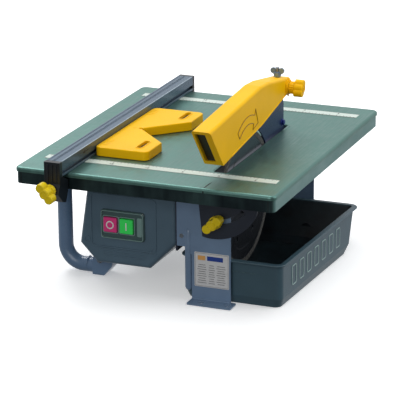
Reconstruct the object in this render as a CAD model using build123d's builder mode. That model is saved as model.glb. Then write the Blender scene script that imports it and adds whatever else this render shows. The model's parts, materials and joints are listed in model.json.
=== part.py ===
"""Wet tile saw: a tabletop cutter whose table tilts about the blade plane.

Millimetres. X points to the operator's right, Y away from the operator, Z up.
The origin is on the bench, in the plane of the blade, midway between the four
bolt-down holes. The table's centre is TABLE_X to the side of it.
"""
from build123d import *
import math
import os

os.makedirs("parts", exist_ok=True)

# ---------------------------------------------------------------- general
GAP = 0.3                 # between curved or sliding faces of different bodies
RUNNING = 0.05            # radial clearance of a pin or a shaft in its bore
SHEET = 2.0               # steel sheet of the frame

# ---------------------------------------------------------------- table
TABLE_W = 360.0
TABLE_D = 420.0
TABLE_Z = 170.0           # working surface above the bench
TABLE_X = -84.0           # centre of the table from the blade plane
TABLE_SHEET = 1.5
SKIRT = 22.0
SKIRT_LIP = 7.0
TABLE_CORNER = 9.0
TABLE_CORNER_MIN = 1.0
TABLE_EDGE = 3.2
EDGE_DROP = 6.0           # the sheet's edge turns down over the skirt
TABLE_UNDER = TABLE_Z - TABLE_SHEET
SLOT_LEFT = 14.0          # the slot is wider on the side that tilts up
SLOT_RIGHT = 4.0
SLOT_FRONT = -140.0
SLOT_REAR = 94.0

RULER_W = 16.0
RULER_T = 0.4
RULER_LEFT = TABLE_X - 160.0
RULER_RIGHT = TABLE_X + 163.0
FRONT_RULER_Y = -152.5
REAR_RULER_Y = 167.5

# ---------------------------------------------------------------- tilt hinge
PIVOT_Z = TABLE_Z - 10.0  # hinge axis, along Y at X = 0
PIVOT_R = 3.0
PIVOT_EAR_R = 7.5
TILT_BOLT_R = 3.0
TILT_BOLT_Z = PIVOT_Z - 48.0
TILT_MAX = 45.0
PLATE_INNER = 160.0       # inner faces of the end brackets, front and rear
PLATE_OUTER = PLATE_INNER + SHEET
QUADRANT_T = 2.5
QUADRANT_IN = PLATE_OUTER + GAP
QUADRANT_OUT = QUADRANT_IN + QUADRANT_T
QUADRANT_R = 66.0
QUADRANT_CX = -5.0
QUADRANT_CZ = TABLE_Z - 16.0
QUADRANT_LEFT = -28.0
QUADRANT_RIGHT = 62.0
QUADRANT_FLANGE = 14.0
SLOT_SPARE = 2.0          # degrees of arc slot past each end of the tilt

# ---------------------------------------------------------------- end brackets
BRACKET_LEFT = -36.0
BRACKET_RIGHT = 18.0
BRACKET_WIDE_LEFT = -45.0  # above the tank's rim the plate is wider
BRACKET_NOTCH_Z = 68.0
BRACKET_SHOULDER_Z = TABLE_Z - 20.0
FOOT_RIGHT = 25.0
FOOT_DEPTH = 22.0
FOOT_HOLE_R = 3.5
FOOT_HOLE_X = 18.0
FOOT_HOLE_Y = PLATE_OUTER + 12.0
LABEL_W = 48.0
LABEL_H = 47.0
LABEL_T = 0.5
LABEL_X = -8.0
LABEL_Z = 43.5

# ---------------------------------------------------------------- motor frame
FRAME_T = 2.5
FRAME_RIGHT = -56.5       # the web's face towards the tank
FRAME_LEFT = FRAME_RIGHT - FRAME_T
FRAME_BOTTOM = 64.0       # the web stays above the tank's rim
FRAME_TOP = TABLE_Z - 22.0
FRAME_FLANGE_Z = 72.0     # the end flanges start above the tank's rim
FRAME_BOLT_R = 3.0
FRAME_BOLT_X = -50.0
FRAME_BOLT_ZS = (86.0, 134.0)
BOLT_HEAD_H = 3.0

# ---------------------------------------------------------------- blade and drive
BLADE_R = 90.0
BLADE_Y = -65.0
BLADE_Z = TABLE_Z - 56.0
CORE_R = 83.0
CORE_T = 1.6
RIM_T = 2.2
ARBOR_R = 6.0
BLADE_BORE_R = 11.1
FLANGE_R = 20.0
FLANGE_T = 6.0
NUT_R = 9.5
NUT_T = 8.0
SHAFT_R = 7.0
SHAFT_LEFT = -183.5
SHAFT_NECK = -144.0       # the thin left end carries the fan
SHAFT_NECK_R = 5.0
SHAFT_SHOULDER = -CORE_T / 2 - FLANGE_T
SHAFT_RIGHT = 16.0
STATOR_LEFT = -150.0
STATOR_RIGHT = -102.0
STATOR_R = 43.0
AIR_GAP_R = 24.6
ROTOR_R = 24.0
WINDING_OUT = 39.0
WINDING_IN = 27.0
WINDING_L = 14.0
SHIELD_T = 4.0
SHIELD_LEFT = STATOR_LEFT - WINDING_L - 5.0
SHIELD_RIGHT = STATOR_RIGHT + WINDING_L + 1.0
BEARING_R = 11.0
BEARING_T = 7.0
SEAT_R = 14.5
FAN_R = 24.0
FAN_HUB_R = 8.0
FAN_T = 7.5
FAN_LEFT = SHAFT_LEFT + 2.0
FAN_BLADES = 9
SPINDLE_R = 19.0
SPINDLE_BORE_R = 15.0
SPINDLE_END = -20.0
SPINDLE_FLANGE_R = 32.0
SPINDLE_FLANGE_T = 5.0
SPINDLE_BOLT_PCD_R = 26.0
SPINDLE_BEARING_T = 9.0

# ---------------------------------------------------------------- motor housing
HOUSING_TOP = TABLE_Z - 6.0
HOUSING_TOP_LEFT = -182.0
HOUSING_LEFT = -198.0
HOUSING_LEFT_Z = 57.0     # height of the widest point
HOUSING_BOTTOM = 32.0
HOUSING_BOTTOM_LEFT = -174.0
HOUSING_BOTTOM_RIGHT = -98.0
HOUSING_RIGHT = FRAME_LEFT
HOUSING_RIGHT_Z = 71.0
HOUSING_FRONT = -157.0
HOUSING_REAR = 30.0
HOUSING_WALL = 3.0
HOUSING_EDGE = 6.0
BOSS_R = 4.5
BOSS_PLACES = ((-176.0, 152.0), (-68.0, 152.0), (-182.0, 66.0), (-76.0, 76.0))
SCREW_R = 2.0
SCREW_CLEAR_R = 2.3
SCREW_HEAD_R = 3.8
SCREW_HEAD_H = 2.5
SCREW_DEPTH = 24.0        # thread in the front shell
SADDLE_XS = (-146.0, -110.0)
SADDLE_T = 3.0
VENT_X = -128.0
VENT_Z = 112.0
VENT_PITCH = 9.0
VENT_COUNT = 7
VENT_L = 44.0
VENT_W = 4.0

SWITCH_X = -134.0
SWITCH_Z = 89.0
BEZEL_W = 62.0
BEZEL_H = 40.0
BEZEL_T = 3.0
SWITCH_POCKET_W = 46.0
SWITCH_POCKET_H = 27.0
STOP_X = -150.5
START_X = -127.5
BUTTON_W = 19.0
BUTTON_H = 20.0
BUTTON_PROUD = 3.5
BUTTON_TRAVEL = 3.0
SWITCH_BODY_D = 26.0
SWITCH_BODY_X = (STOP_X + START_X) / 2

CAPACITOR_R = 14.0
CAPACITOR_L = 60.0
CAPACITOR_X = -126.5
CAPACITOR_Z = 50.5
GROMMET_X = -150.0
GROMMET_Z = 60.0
GROMMET_R = 8.0
GROMMET_OUT = 12.0
GROMMET_TAPER = 12.0
CORD_R = 3.6

# ---------------------------------------------------------------- legs
LEG_R = 10.0
LEG_X = -240.0
LEG_BEND = 26.0
LEG_END_X = -196.0
LEG_YS = (-110.0, 4.0)
LEG_PAD_T = 3.0
CLAMP_W = 26.0
CLAMP_TOE = 12.0
CLAMP_HEEL_Z = 14.0
CLAMP_SOLE = 16.0

# ---------------------------------------------------------------- knife and guard
KNIFE_T = 2.0
KNIFE_GAP = 4.0
KNIFE_BOTTOM = 122.0
KNIFE_REAR = 82.0
GUARD_PIVOT_Y = 66.0
GUARD_PIVOT_Z = TABLE_Z + 62.0
KNIFE_HEAD_R = 7.0
GUARD_HALF = 13.0
GUARD_WALL = 2.5
GUARD_BOSS_R = 9.0
GUARD_BOSS_T = 3.0
STUD_R = 2.5
STUD_Y = GUARD_PIVOT_Y - 6.0
STUD_BOTTOM = TABLE_Z + 73.0
STUD_TOP = TABLE_Z + 90.0
WING_NUT_Z = TABLE_Z + 77.5
WING_NUT_R = 5.0
WING_NUT_H = 6.0
WING_REACH = 5.8          # centre of each wing from the stud
WING_T = 2.4
WING_RX = 3.9
WING_RZ = 4.0
SPACER_R = 5.5
KNIFE_BOLT_YS = (46.0, 62.0)
KNIFE_BOLT_Z = 137.0
KNIFE_ARM_Y = 54.0        # middle of the bracket that carries the knife
KNIFE_ARM_W = 28.0
KNIFE_ARM_Z = 126.0
KNIFE_ARM_H = 5.0
KNIFE_PAD_T = 4.0
KNIFE_PAD_H = 26.0
KNIFE_PLATE_W = 36.0
KNIFE_PLATE_H = 34.0
KNIFE_PLATE_Z = 128.0

# ---------------------------------------------------------------- fence and guide
FENCE_W = 22.0
FENCE_H = 20.0
FENCE_WALL = 2.0
FENCE_X = TABLE_X - 113.0
FENCE_Z = TABLE_Z + 0.5
FENCE_FRONT = -228.0
FENCE_REAR = 212.0
FENCE_SCREW_Z = TABLE_Z - 15.0
FENCE_SCREW_L = 44.0
FENCE_KNOB_Y = -242.5
GROOVE_H = 5.0
GROOVE_Z = FENCE_Z + 5.5
GROOVE_D = 5.0
GUIDE_T = 12.0
GUIDE_LEFT = FENCE_X + FENCE_W / 2 + GAP
GUIDE_RIGHT = TABLE_X - 26.0
GUIDE_Y = -30.0
GUIDE_HALF = 100.0
NOTCH_HALF = 52.0
GUIDE_SLOT_X = TABLE_X - 45.0
GUIDE_SLOT_YS = (GUIDE_Y - 69.0, GUIDE_Y + 76.0)
GUIDE_SLOT_L = 32.0
GUIDE_SLOT_W = 7.0
GUIDE_SLOT_DEPTH = 7.0
GUIDE_RELIEF_R = 3.0
GUIDE_CORNER = 8.0
GUIDE_EDGE = 1.5
KEY_L = 80.0

# ---------------------------------------------------------------- water tank
TANK_LEFT = -50.0
TANK_RIGHT_FRONT = 85.0
TANK_RIGHT_REAR = 96.0
TANK_FRONT = -155.5
TANK_REAR = 112.0
TANK_H = 60.0
TANK_WALL = 2.5
TANK_BAND = 12.0          # the foot of the walls leans in below this height
TANK_LEAN = 4.0
TANK_REAR_SLOPE = 24.0
TANK_RIM = 3.5
TANK_CORNER = 9.0

# ---------------------------------------------------------------- knobs
KNOB_HUB_R = 8.0
KNOB_HUB_H = 7.0
KNOB_SPAN = 30.0
KNOB_LOBE_R = 6.0
KNOB_WING_H = 12.0
KNOB_EDGE = 1.5
GUARD_KNOB_SPAN = 24.0
GUARD_KNOB_TURN = 60       # degrees from level to the line of the lobes
FENCE_KNOB_TURN = 130
TILT_KNOB_TURN = 40


# ---------------------------------------------------------------- shared helpers
def save(piece, name):
    """Label a finished piece and write it."""
    piece.part.label = name
    export_step(piece.part, f"parts/{name}.step")


def group(pieces, name):
    """Several like solids saved together as one node."""
    bundle = Compound(children=[solid for piece in pieces for solid in piece.part.solids()])
    bundle.label = name
    export_step(bundle, f"parts/{name}.step")


def upright(y):
    """Plane facing the operator at depth y: local x is X, local y is Z, extruding forwards."""
    return Plane.XZ.offset(-y)


def sideways(x):
    """Plane across the saw at x: local x is Y, local y is Z, extruding to the right."""
    return Plane.YZ.offset(x)


def level(z):
    return Plane.XY.offset(z)


def round_bar(builder_plane, radius, length, bore=0.0):
    """Plain round solid on a plane's origin, with an optional bore."""
    with BuildPart() as bar:
        with BuildSketch(builder_plane):
            Circle(radius)
            if bore:
                Circle(bore, mode=Mode.SUBTRACT)
        extrude(amount=length)
    return bar


def axis_plane(x):
    """Plane across the motor's axis at x, extruding to the right."""
    return Plane(origin=(x, BLADE_Y, BLADE_Z), x_dir=(0, 1, 0), z_dir=(1, 0, 0))


def outward_plane(x, y, z, side):
    """Plane at a point of the front (side -1) or the rear (side 1), facing outwards."""
    return Plane(origin=(x, y, z), x_dir=(-side, 0, 0), z_dir=(0, side, 0))


def wing_knob(plane, bore_r, turn=0.0, span=KNOB_SPAN):
    """Hand knob: a round hub under two rounded lobes, bored from the hub's face."""
    lobe_offset = span / 2 - KNOB_LOBE_R
    with BuildPart() as knob:
        with BuildSketch(plane):
            Circle(KNOB_HUB_R)
        extrude(amount=KNOB_HUB_H)
        with BuildSketch(plane.offset(KNOB_HUB_H)):
            Circle(KNOB_HUB_R - 1)
            with PolarLocations(lobe_offset, 2, start_angle=turn):
                Circle(KNOB_LOBE_R)
            Rectangle(2 * lobe_offset, KNOB_LOBE_R * 1.3, rotation=turn)
        extrude(amount=KNOB_WING_H)
        outer_face = faces().filter_by(plane).sort_by(Axis(plane.origin, plane.z_dir))[-1]
        fillet(outer_face.edges(), KNOB_EDGE)
        with BuildSketch(plane):
            Circle(bore_r)
        extrude(amount=KNOB_HUB_H + KNOB_WING_H / 2, mode=Mode.SUBTRACT)
    return knob


# ---------------------------------------------------------------- table
def table_plan(z, inset):
    """Plan outline of the table at one height, drawn inset from the outer edge."""
    with BuildSketch(level(z)) as plan:
        with Locations((TABLE_X, 0)):
            RectangleRounded(TABLE_W - 2 * inset, TABLE_D - 2 * inset,
                             max(TABLE_CORNER - inset, TABLE_CORNER_MIN))
    return plan.sketch.faces()[0]


with BuildPart() as table_top:
    extrude(table_plan(TABLE_Z - EDGE_DROP, 0), amount=EDGE_DROP)
    fillet(faces().sort_by(Axis.Z)[-1].edges(), TABLE_EDGE)
    extrude(table_plan(TABLE_Z - EDGE_DROP, TABLE_SHEET), amount=EDGE_DROP - TABLE_SHEET,
            mode=Mode.SUBTRACT)
    with BuildSketch(level(TABLE_UNDER)):
        with Locations(((SLOT_RIGHT - SLOT_LEFT) / 2, (SLOT_FRONT + SLOT_REAR) / 2)):
            RectangleRounded(SLOT_LEFT + SLOT_RIGHT, SLOT_REAR - SLOT_FRONT, SLOT_RIGHT)
    extrude(amount=TABLE_SHEET, mode=Mode.SUBTRACT)
save(table_top, "table_top")

# the skirt stands inside the turned-down edge of the sheet, with a lip along its foot
skirt_foot = TABLE_Z - SKIRT
with BuildPart() as table_skirt:
    extrude(table_plan(skirt_foot, TABLE_SHEET), amount=TABLE_UNDER - skirt_foot)
    extrude(table_plan(skirt_foot + TABLE_SHEET, 2 * TABLE_SHEET),
            amount=TABLE_UNDER - skirt_foot - TABLE_SHEET, mode=Mode.SUBTRACT)
    extrude(table_plan(skirt_foot, TABLE_SHEET + SKIRT_LIP), amount=TABLE_SHEET,
            mode=Mode.SUBTRACT)
save(table_skirt, "table_skirt")


def ruler_strip(y):
    with BuildPart() as strip:
        with BuildSketch(level(TABLE_Z)):
            with Locations(((RULER_LEFT + RULER_RIGHT) / 2, y)):
                Rectangle(RULER_RIGHT - RULER_LEFT, RULER_W)
        extrude(amount=RULER_T)
    return strip


group([ruler_strip(FRONT_RULER_Y), ruler_strip(REAR_RULER_Y)], "rulers")


def on_arc(centre_z, radius, angle):
    """Point at an angle round (0, centre_z), in a front view."""
    return (radius * math.cos(math.radians(angle)),
            centre_z + radius * math.sin(math.radians(angle)))


def arc_slot_lines(centre_z, radius, half_width, start, sweep_angle):
    """Closed outline of a slot that follows an arc, with round ends."""
    end = start + sweep_angle
    CenterArc((0, centre_z), radius + half_width, start, sweep_angle)
    CenterArc(on_arc(centre_z, radius, end), half_width, end, 180)
    CenterArc((0, centre_z), radius - half_width, start, sweep_angle)
    CenterArc(on_arc(centre_z, radius, start), half_width, start + 180, 180)


def quadrant(side):
    """Plate under the table's end with an arc slot round the hinge, and its top flange."""
    slot_r = PIVOT_Z - TILT_BOLT_Z
    bolt_clear = TILT_BOLT_R + GAP
    rim_right = QUADRANT_CX + QUADRANT_R * math.cos(math.radians(-25))
    rim_right_z = QUADRANT_CZ + QUADRANT_R * math.sin(math.radians(-25))
    rim_left = QUADRANT_CX + QUADRANT_R * math.cos(math.radians(-103))
    rim_left_z = QUADRANT_CZ + QUADRANT_R * math.sin(math.radians(-103))
    with BuildPart() as plate:
        with BuildSketch(upright(side * QUADRANT_IN)):
            with BuildLine():
                Line((rim_left, rim_left_z), (QUADRANT_LEFT, TABLE_UNDER))
                Line((QUADRANT_LEFT, TABLE_UNDER), (QUADRANT_RIGHT, TABLE_UNDER))
                Line((QUADRANT_RIGHT, TABLE_UNDER), (rim_right, rim_right_z))
                RadiusArc((rim_right, rim_right_z), (rim_left, rim_left_z), QUADRANT_R)
            make_face()
            with Locations((0, PIVOT_Z)):
                Circle(PIVOT_R + RUNNING, mode=Mode.SUBTRACT)
            with BuildLine():
                arc_slot_lines(PIVOT_Z, slot_r, bolt_clear, -90 - SLOT_SPARE,
                               TILT_MAX + 2 * SLOT_SPARE)
            make_face(mode=Mode.SUBTRACT)
        extrude(amount=-side * QUADRANT_T)
        with BuildSketch(level(TABLE_UNDER - SHEET)):
            with Locations(((QUADRANT_LEFT + QUADRANT_RIGHT) / 2,
                            side * (QUADRANT_IN + QUADRANT_FLANGE / 2))):
                Rectangle(QUADRANT_RIGHT - QUADRANT_LEFT, QUADRANT_FLANGE)
        extrude(amount=SHEET)
    return plate


front_quadrant = quadrant(-1)
save(front_quadrant, "front_quadrant")
rear_quadrant = quadrant(1)
save(rear_quadrant, "rear_quadrant")


# ---------------------------------------------------------------- base frame
def end_bracket(side):
    """Upright plate with the hinge ear on top and a bolt-down foot bent outwards."""
    tangent = PIVOT_EAR_R / math.sqrt(2)
    slope_z = PIVOT_Z + tangent - (BRACKET_RIGHT - tangent)
    with BuildPart() as bracket:
        with BuildSketch(upright(side * PLATE_INNER)):
            with BuildLine():
                Polyline((BRACKET_LEFT, 0), (BRACKET_RIGHT, 0), (BRACKET_RIGHT, slope_z),
                         (tangent, PIVOT_Z + tangent), (0, PIVOT_Z), (-PIVOT_EAR_R, PIVOT_Z),
                         (-PIVOT_EAR_R - 4, BRACKET_SHOULDER_Z),
                         (BRACKET_WIDE_LEFT, BRACKET_SHOULDER_Z),
                         (BRACKET_WIDE_LEFT, BRACKET_NOTCH_Z),
                         (BRACKET_LEFT, BRACKET_NOTCH_Z - 6), (BRACKET_LEFT, 0))
            make_face()
            with Locations((0, PIVOT_Z)):
                Circle(PIVOT_EAR_R)
                Circle(PIVOT_R, mode=Mode.SUBTRACT)
            with Locations((0, TILT_BOLT_Z)):
                Circle(TILT_BOLT_R, mode=Mode.SUBTRACT)
            # the plate laps the motor frame's flange at its left edge
            with Locations(((BRACKET_WIDE_LEFT + FRAME_RIGHT) / 2,
                            (FRAME_FLANGE_Z + FRAME_TOP) / 2)):
                Rectangle(BRACKET_WIDE_LEFT - FRAME_RIGHT, FRAME_TOP - FRAME_FLANGE_Z)
            with Locations(*[(FRAME_BOLT_X, z) for z in FRAME_BOLT_ZS]):
                Circle(FRAME_BOLT_R, mode=Mode.SUBTRACT)
        extrude(amount=-side * SHEET)
        with BuildSketch(level(0)):
            with Locations(((BRACKET_LEFT + FOOT_RIGHT) / 2, side * (PLATE_INNER + FOOT_DEPTH / 2))):
                RectangleRounded(FOOT_RIGHT - BRACKET_LEFT, FOOT_DEPTH, SHEET * 0.9)
            with Locations((-FOOT_HOLE_X, side * FOOT_HOLE_Y), (FOOT_HOLE_X, side * FOOT_HOLE_Y)):
                Circle(FOOT_HOLE_R, mode=Mode.SUBTRACT)
        extrude(amount=SHEET)
    return bracket


front_bracket = end_bracket(-1)
save(front_bracket, "front_bracket")
rear_bracket = end_bracket(1)
save(rear_bracket, "rear_bracket")

with BuildPart() as motor_frame:
    with BuildSketch(sideways(FRAME_LEFT)):
        with Locations((0, (FRAME_BOTTOM + FRAME_TOP) / 2)):
            Rectangle(2 * PLATE_INNER, FRAME_TOP - FRAME_BOTTOM)
        with Locations((BLADE_Y, BLADE_Z)):
            Circle(SPINDLE_BORE_R, mode=Mode.SUBTRACT)
            with PolarLocations(SPINDLE_BOLT_PCD_R, 4, start_angle=45):
                Circle(FRAME_BOLT_R, mode=Mode.SUBTRACT)
    extrude(amount=FRAME_T)
    for side in (-1, 1):
        with BuildSketch(upright(side * PLATE_INNER)):
            with Locations(((FRAME_RIGHT + BRACKET_WIDE_LEFT) / 2,
                            (FRAME_FLANGE_Z + FRAME_TOP) / 2)):
                Rectangle(BRACKET_WIDE_LEFT - FRAME_RIGHT, FRAME_TOP - FRAME_FLANGE_Z)
            with Locations(*[(FRAME_BOLT_X, z) for z in FRAME_BOLT_ZS]):
                Circle(FRAME_BOLT_R, mode=Mode.SUBTRACT)
        extrude(amount=side * FRAME_T)
save(motor_frame, "motor_frame")


def headed_pin(plane, radius, length, head_r, head_h):
    """Pin whose shank starts on the plane and runs against its normal, head outside."""
    with BuildPart() as pin:
        with BuildSketch(plane):
            Circle(head_r)
        extrude(amount=head_h)
        chamfer(faces().sort_by(Axis(plane.origin, plane.z_dir))[-1].edges(), head_h / 4)
        with BuildSketch(plane):
            Circle(radius)
        extrude(amount=-length)
    return pin


hinge_pins = [headed_pin(outward_plane(0, side * (QUADRANT_OUT + RUNNING), PIVOT_Z, side),
                         PIVOT_R, QUADRANT_OUT - PLATE_INNER + 2, PIVOT_EAR_R - 2, BOLT_HEAD_H)
              for side in (-1, 1)]
group(hinge_pins, "hinge_pins")

tilt_bolts = [headed_pin(outward_plane(0, side * PLATE_INNER, TILT_BOLT_Z, -side),
                         TILT_BOLT_R, QUADRANT_OUT - PLATE_INNER + KNOB_HUB_H + 5,
                         TILT_BOLT_R * 2, BOLT_HEAD_H - 0.5)
              for side in (-1, 1)]
group(tilt_bolts, "tilt_bolts")

# heads inside and ends flush, so the quadrants can swing past them
frame_bolts = [headed_pin(outward_plane(FRAME_BOLT_X, side * (PLATE_INNER - FRAME_T), z, -side),
                          FRAME_BOLT_R, SHEET + FRAME_T, FRAME_BOLT_R * 2, BOLT_HEAD_H)
               for side in (-1, 1) for z in FRAME_BOLT_ZS]
group(frame_bolts, "frame_bolts")

with BuildPart() as label_plate:
    with BuildSketch(upright(-PLATE_OUTER)):
        with Locations((LABEL_X, LABEL_Z)):
            RectangleRounded(LABEL_W, LABEL_H, 1.5)
    extrude(amount=LABEL_T)
save(label_plate, "label_plate")


# ---------------------------------------------------------------- spindle and blade
with BuildPart() as spindle_housing:
    with BuildSketch(axis_plane(FRAME_RIGHT)):
        Circle(SPINDLE_FLANGE_R)
        with PolarLocations(SPINDLE_BOLT_PCD_R, 4, start_angle=45):
            Circle(FRAME_BOLT_R, mode=Mode.SUBTRACT)
    extrude(amount=SPINDLE_FLANGE_T)
    with BuildSketch(axis_plane(FRAME_RIGHT)):
        Circle(SPINDLE_R)
    extrude(amount=SPINDLE_END - FRAME_RIGHT)
    with BuildSketch(axis_plane(FRAME_RIGHT)):
        Circle(SPINDLE_BORE_R)
    extrude(amount=SPINDLE_END - FRAME_RIGHT, mode=Mode.SUBTRACT)
save(spindle_housing, "spindle_housing")

spindle_bolts = [
    headed_pin(Plane(origin=(FRAME_RIGHT + SPINDLE_FLANGE_T,
                             BLADE_Y + SPINDLE_BOLT_PCD_R * math.cos(math.radians(angle)),
                             BLADE_Z + SPINDLE_BOLT_PCD_R * math.sin(math.radians(angle))),
                     x_dir=(0, 1, 0), z_dir=(1, 0, 0)),
               FRAME_BOLT_R, SPINDLE_FLANGE_T + FRAME_T, FRAME_BOLT_R * 1.7, BOLT_HEAD_H)
    for angle in range(45, 360, 90)]
group(spindle_bolts, "spindle_bolts")

spindle_bearing = round_bar(axis_plane(SPINDLE_END - SPINDLE_BEARING_T - 1), SPINDLE_BORE_R,
                            SPINDLE_BEARING_T, SHAFT_R + RUNNING)
save(spindle_bearing, "spindle_bearing")

with BuildPart() as motor_shaft:
    with BuildSketch(axis_plane(SHAFT_LEFT)):
        Circle(SHAFT_NECK_R)
    extrude(amount=SHAFT_NECK - SHAFT_LEFT)
    with BuildSketch(axis_plane(SHAFT_NECK)):
        Circle(SHAFT_R)
    extrude(amount=SHAFT_SHOULDER - SHAFT_NECK)
    with BuildSketch(axis_plane(SHAFT_SHOULDER)):
        Circle(ARBOR_R)
    extrude(amount=SHAFT_RIGHT - SHAFT_SHOULDER)
    chamfer(edges().filter_by(GeomType.CIRCLE).sort_by(Axis.X)[-1], 1)
save(motor_shaft, "motor_shaft")

rotor_core = round_bar(axis_plane(STATOR_LEFT + 6), ROTOR_R, STATOR_RIGHT - STATOR_LEFT - 6, SHAFT_R)
save(rotor_core, "rotor_core")

with BuildPart() as cooling_fan:
    with BuildSketch(axis_plane(FAN_LEFT)):
        Circle(FAN_R)
        Circle(SHAFT_NECK_R, mode=Mode.SUBTRACT)
    extrude(amount=2)
    with BuildSketch(axis_plane(FAN_LEFT)):
        Circle(FAN_HUB_R)
        Circle(SHAFT_NECK_R, mode=Mode.SUBTRACT)
    extrude(amount=FAN_T)
    with BuildSketch(axis_plane(FAN_LEFT)):
        with PolarLocations((FAN_R + FAN_HUB_R) / 2 - 0.5, FAN_BLADES):
            Rectangle(FAN_R - FAN_HUB_R, 2)
    extrude(amount=FAN_T)
save(cooling_fan, "cooling_fan")

inner_face = -CORE_T / 2
with BuildPart() as inner_flange:
    with BuildSketch(axis_plane(SHAFT_SHOULDER)):
        Circle(FLANGE_R)
    extrude(amount=FLANGE_T)
    chamfer(faces().sort_by(Axis.X)[0].edges(), FLANGE_T / 4)
    with BuildSketch(axis_plane(inner_face)):
        Circle(BLADE_BORE_R)
    extrude(amount=CORE_T)
    with BuildSketch(axis_plane(SHAFT_SHOULDER)):
        Circle(ARBOR_R)
    extrude(amount=FLANGE_T + CORE_T, mode=Mode.SUBTRACT)
save(inner_flange, "inner_flange")

with BuildPart() as blade_core:
    with BuildSketch(axis_plane(inner_face)):
        Circle(CORE_R)
        Circle(BLADE_BORE_R, mode=Mode.SUBTRACT)
        with PolarLocations(CORE_R * 0.68, 6):
            Circle(3, mode=Mode.SUBTRACT)
    extrude(amount=CORE_T)
save(blade_core, "blade_core")

diamond_rim = round_bar(axis_plane(-RIM_T / 2), BLADE_R, RIM_T, CORE_R)
save(diamond_rim, "diamond_rim")

outer_flange = round_bar(axis_plane(CORE_T / 2), FLANGE_R, FLANGE_T - 1, ARBOR_R)
save(outer_flange, "outer_flange")

with BuildPart() as arbor_nut:
    with BuildSketch(axis_plane(CORE_T / 2 + FLANGE_T - 1)):
        RegularPolygon(NUT_R, 6)
        Circle(ARBOR_R, mode=Mode.SUBTRACT)
    extrude(amount=NUT_T)
save(arbor_nut, "arbor_nut")


# ---------------------------------------------------------------- motor inside
def end_shield(x, seat_side):
    """Pierced disc that holds one bearing in a raised seat."""
    with BuildPart() as shield:
        with BuildSketch(axis_plane(x)):
            Circle(STATOR_R)
            with PolarLocations(STATOR_R * 0.62, 6):
                Circle(6, mode=Mode.SUBTRACT)
        extrude(amount=SHIELD_T)
        with BuildSketch(axis_plane(x if seat_side > 0 else x + SHIELD_T)):
            Circle(SEAT_R)
        extrude(amount=seat_side * (BEARING_T + 1))
        with BuildSketch(axis_plane(x - BEARING_T)):
            Circle(BEARING_R)
        extrude(amount=SHIELD_T + 2 * BEARING_T, mode=Mode.SUBTRACT)
    return shield


left_shield = end_shield(SHIELD_LEFT, -1)
save(left_shield, "left_shield")
right_shield = end_shield(SHIELD_RIGHT, 1)
save(right_shield, "right_shield")

left_bearing = round_bar(axis_plane(SHIELD_LEFT + SHIELD_T - BEARING_T), BEARING_R, BEARING_T,
                         SHAFT_NECK_R + RUNNING)
right_bearing = round_bar(axis_plane(SHIELD_RIGHT), BEARING_R, BEARING_T, SHAFT_R + RUNNING)
group([left_bearing, right_bearing], "motor_bearings")

stator_core = round_bar(axis_plane(STATOR_LEFT), STATOR_R, STATOR_RIGHT - STATOR_LEFT, AIR_GAP_R)
save(stator_core, "stator_core")


def winding(x):
    with BuildPart() as coil:
        with BuildSketch(axis_plane(x)):
            Circle(WINDING_OUT)
            Circle(WINDING_IN, mode=Mode.SUBTRACT)
        extrude(amount=WINDING_L)
        fillet(edges().filter_by(GeomType.CIRCLE), WINDING_L / 4)
    return coil


group([winding(STATOR_LEFT - WINDING_L), winding(STATOR_RIGHT)], "stator_windings")

with BuildPart() as run_capacitor:
    with BuildSketch(Plane(origin=(CAPACITOR_X, HOUSING_REAR - 3 * HOUSING_WALL, CAPACITOR_Z),
                           x_dir=(1, 0, 0), z_dir=(0, -1, 0))):
        Circle(CAPACITOR_R)
    extrude(amount=CAPACITOR_L)
    fillet(edges().filter_by(GeomType.CIRCLE), 1.5)
save(run_capacitor, "run_capacitor")


# ---------------------------------------------------------------- motor housing
def housing_outline(inset):
    """Front outline of the housing, drawn inset by a wall thickness."""
    slope = inset * math.tan(math.radians(22.5))
    Polyline((HOUSING_TOP_LEFT + inset, HOUSING_TOP - inset),
             (HOUSING_LEFT + inset, HOUSING_LEFT_Z + slope / 2),
             (HOUSING_BOTTOM_LEFT + slope, HOUSING_BOTTOM + inset),
             (HOUSING_BOTTOM_RIGHT - slope, HOUSING_BOTTOM + inset),
             (HOUSING_RIGHT - inset, HOUSING_RIGHT_Z + slope),
             (HOUSING_RIGHT - inset, HOUSING_TOP - inset), close=True)


def housing_shell(outer_y, side):
    """Half of the clamshell, open at the plane through the motor's axis."""
    depth = abs(outer_y - BLADE_Y)
    split = upright(BLADE_Y)
    with BuildPart() as shell:
        with BuildSketch(split):
            with BuildLine():
                housing_outline(0)
            make_face()
        extrude(amount=-side * depth)
        end_face = faces().sort_by(Axis.Y)[0 if side < 0 else -1]
        fillet(end_face.edges(), HOUSING_EDGE)
        with BuildSketch(split):
            with BuildLine():
                housing_outline(HOUSING_WALL)
            make_face()
        extrude(amount=-side * (depth - HOUSING_WALL), mode=Mode.SUBTRACT)
        with BuildSketch(split):
            with Locations(*BOSS_PLACES):
                Circle(BOSS_R)
        extrude(amount=-side * (depth - HOUSING_WALL))
        for x in SADDLE_XS:
            with BuildSketch(sideways(x)):
                with Locations((BLADE_Y + side * (STATOR_R + 4) / 2,
                                (HOUSING_TOP + HOUSING_BOTTOM) / 2)):
                    Rectangle(STATOR_R + 4, HOUSING_TOP - HOUSING_BOTTOM - 2 * HOUSING_WALL)
                with Locations((BLADE_Y, BLADE_Z)):
                    Circle(STATOR_R, mode=Mode.SUBTRACT)
            extrude(amount=SADDLE_T)
        with BuildSketch(axis_plane(HOUSING_RIGHT)):
            Circle(SPINDLE_BORE_R)
        extrude(amount=-2 * HOUSING_WALL, mode=Mode.SUBTRACT)
    return shell


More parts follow.
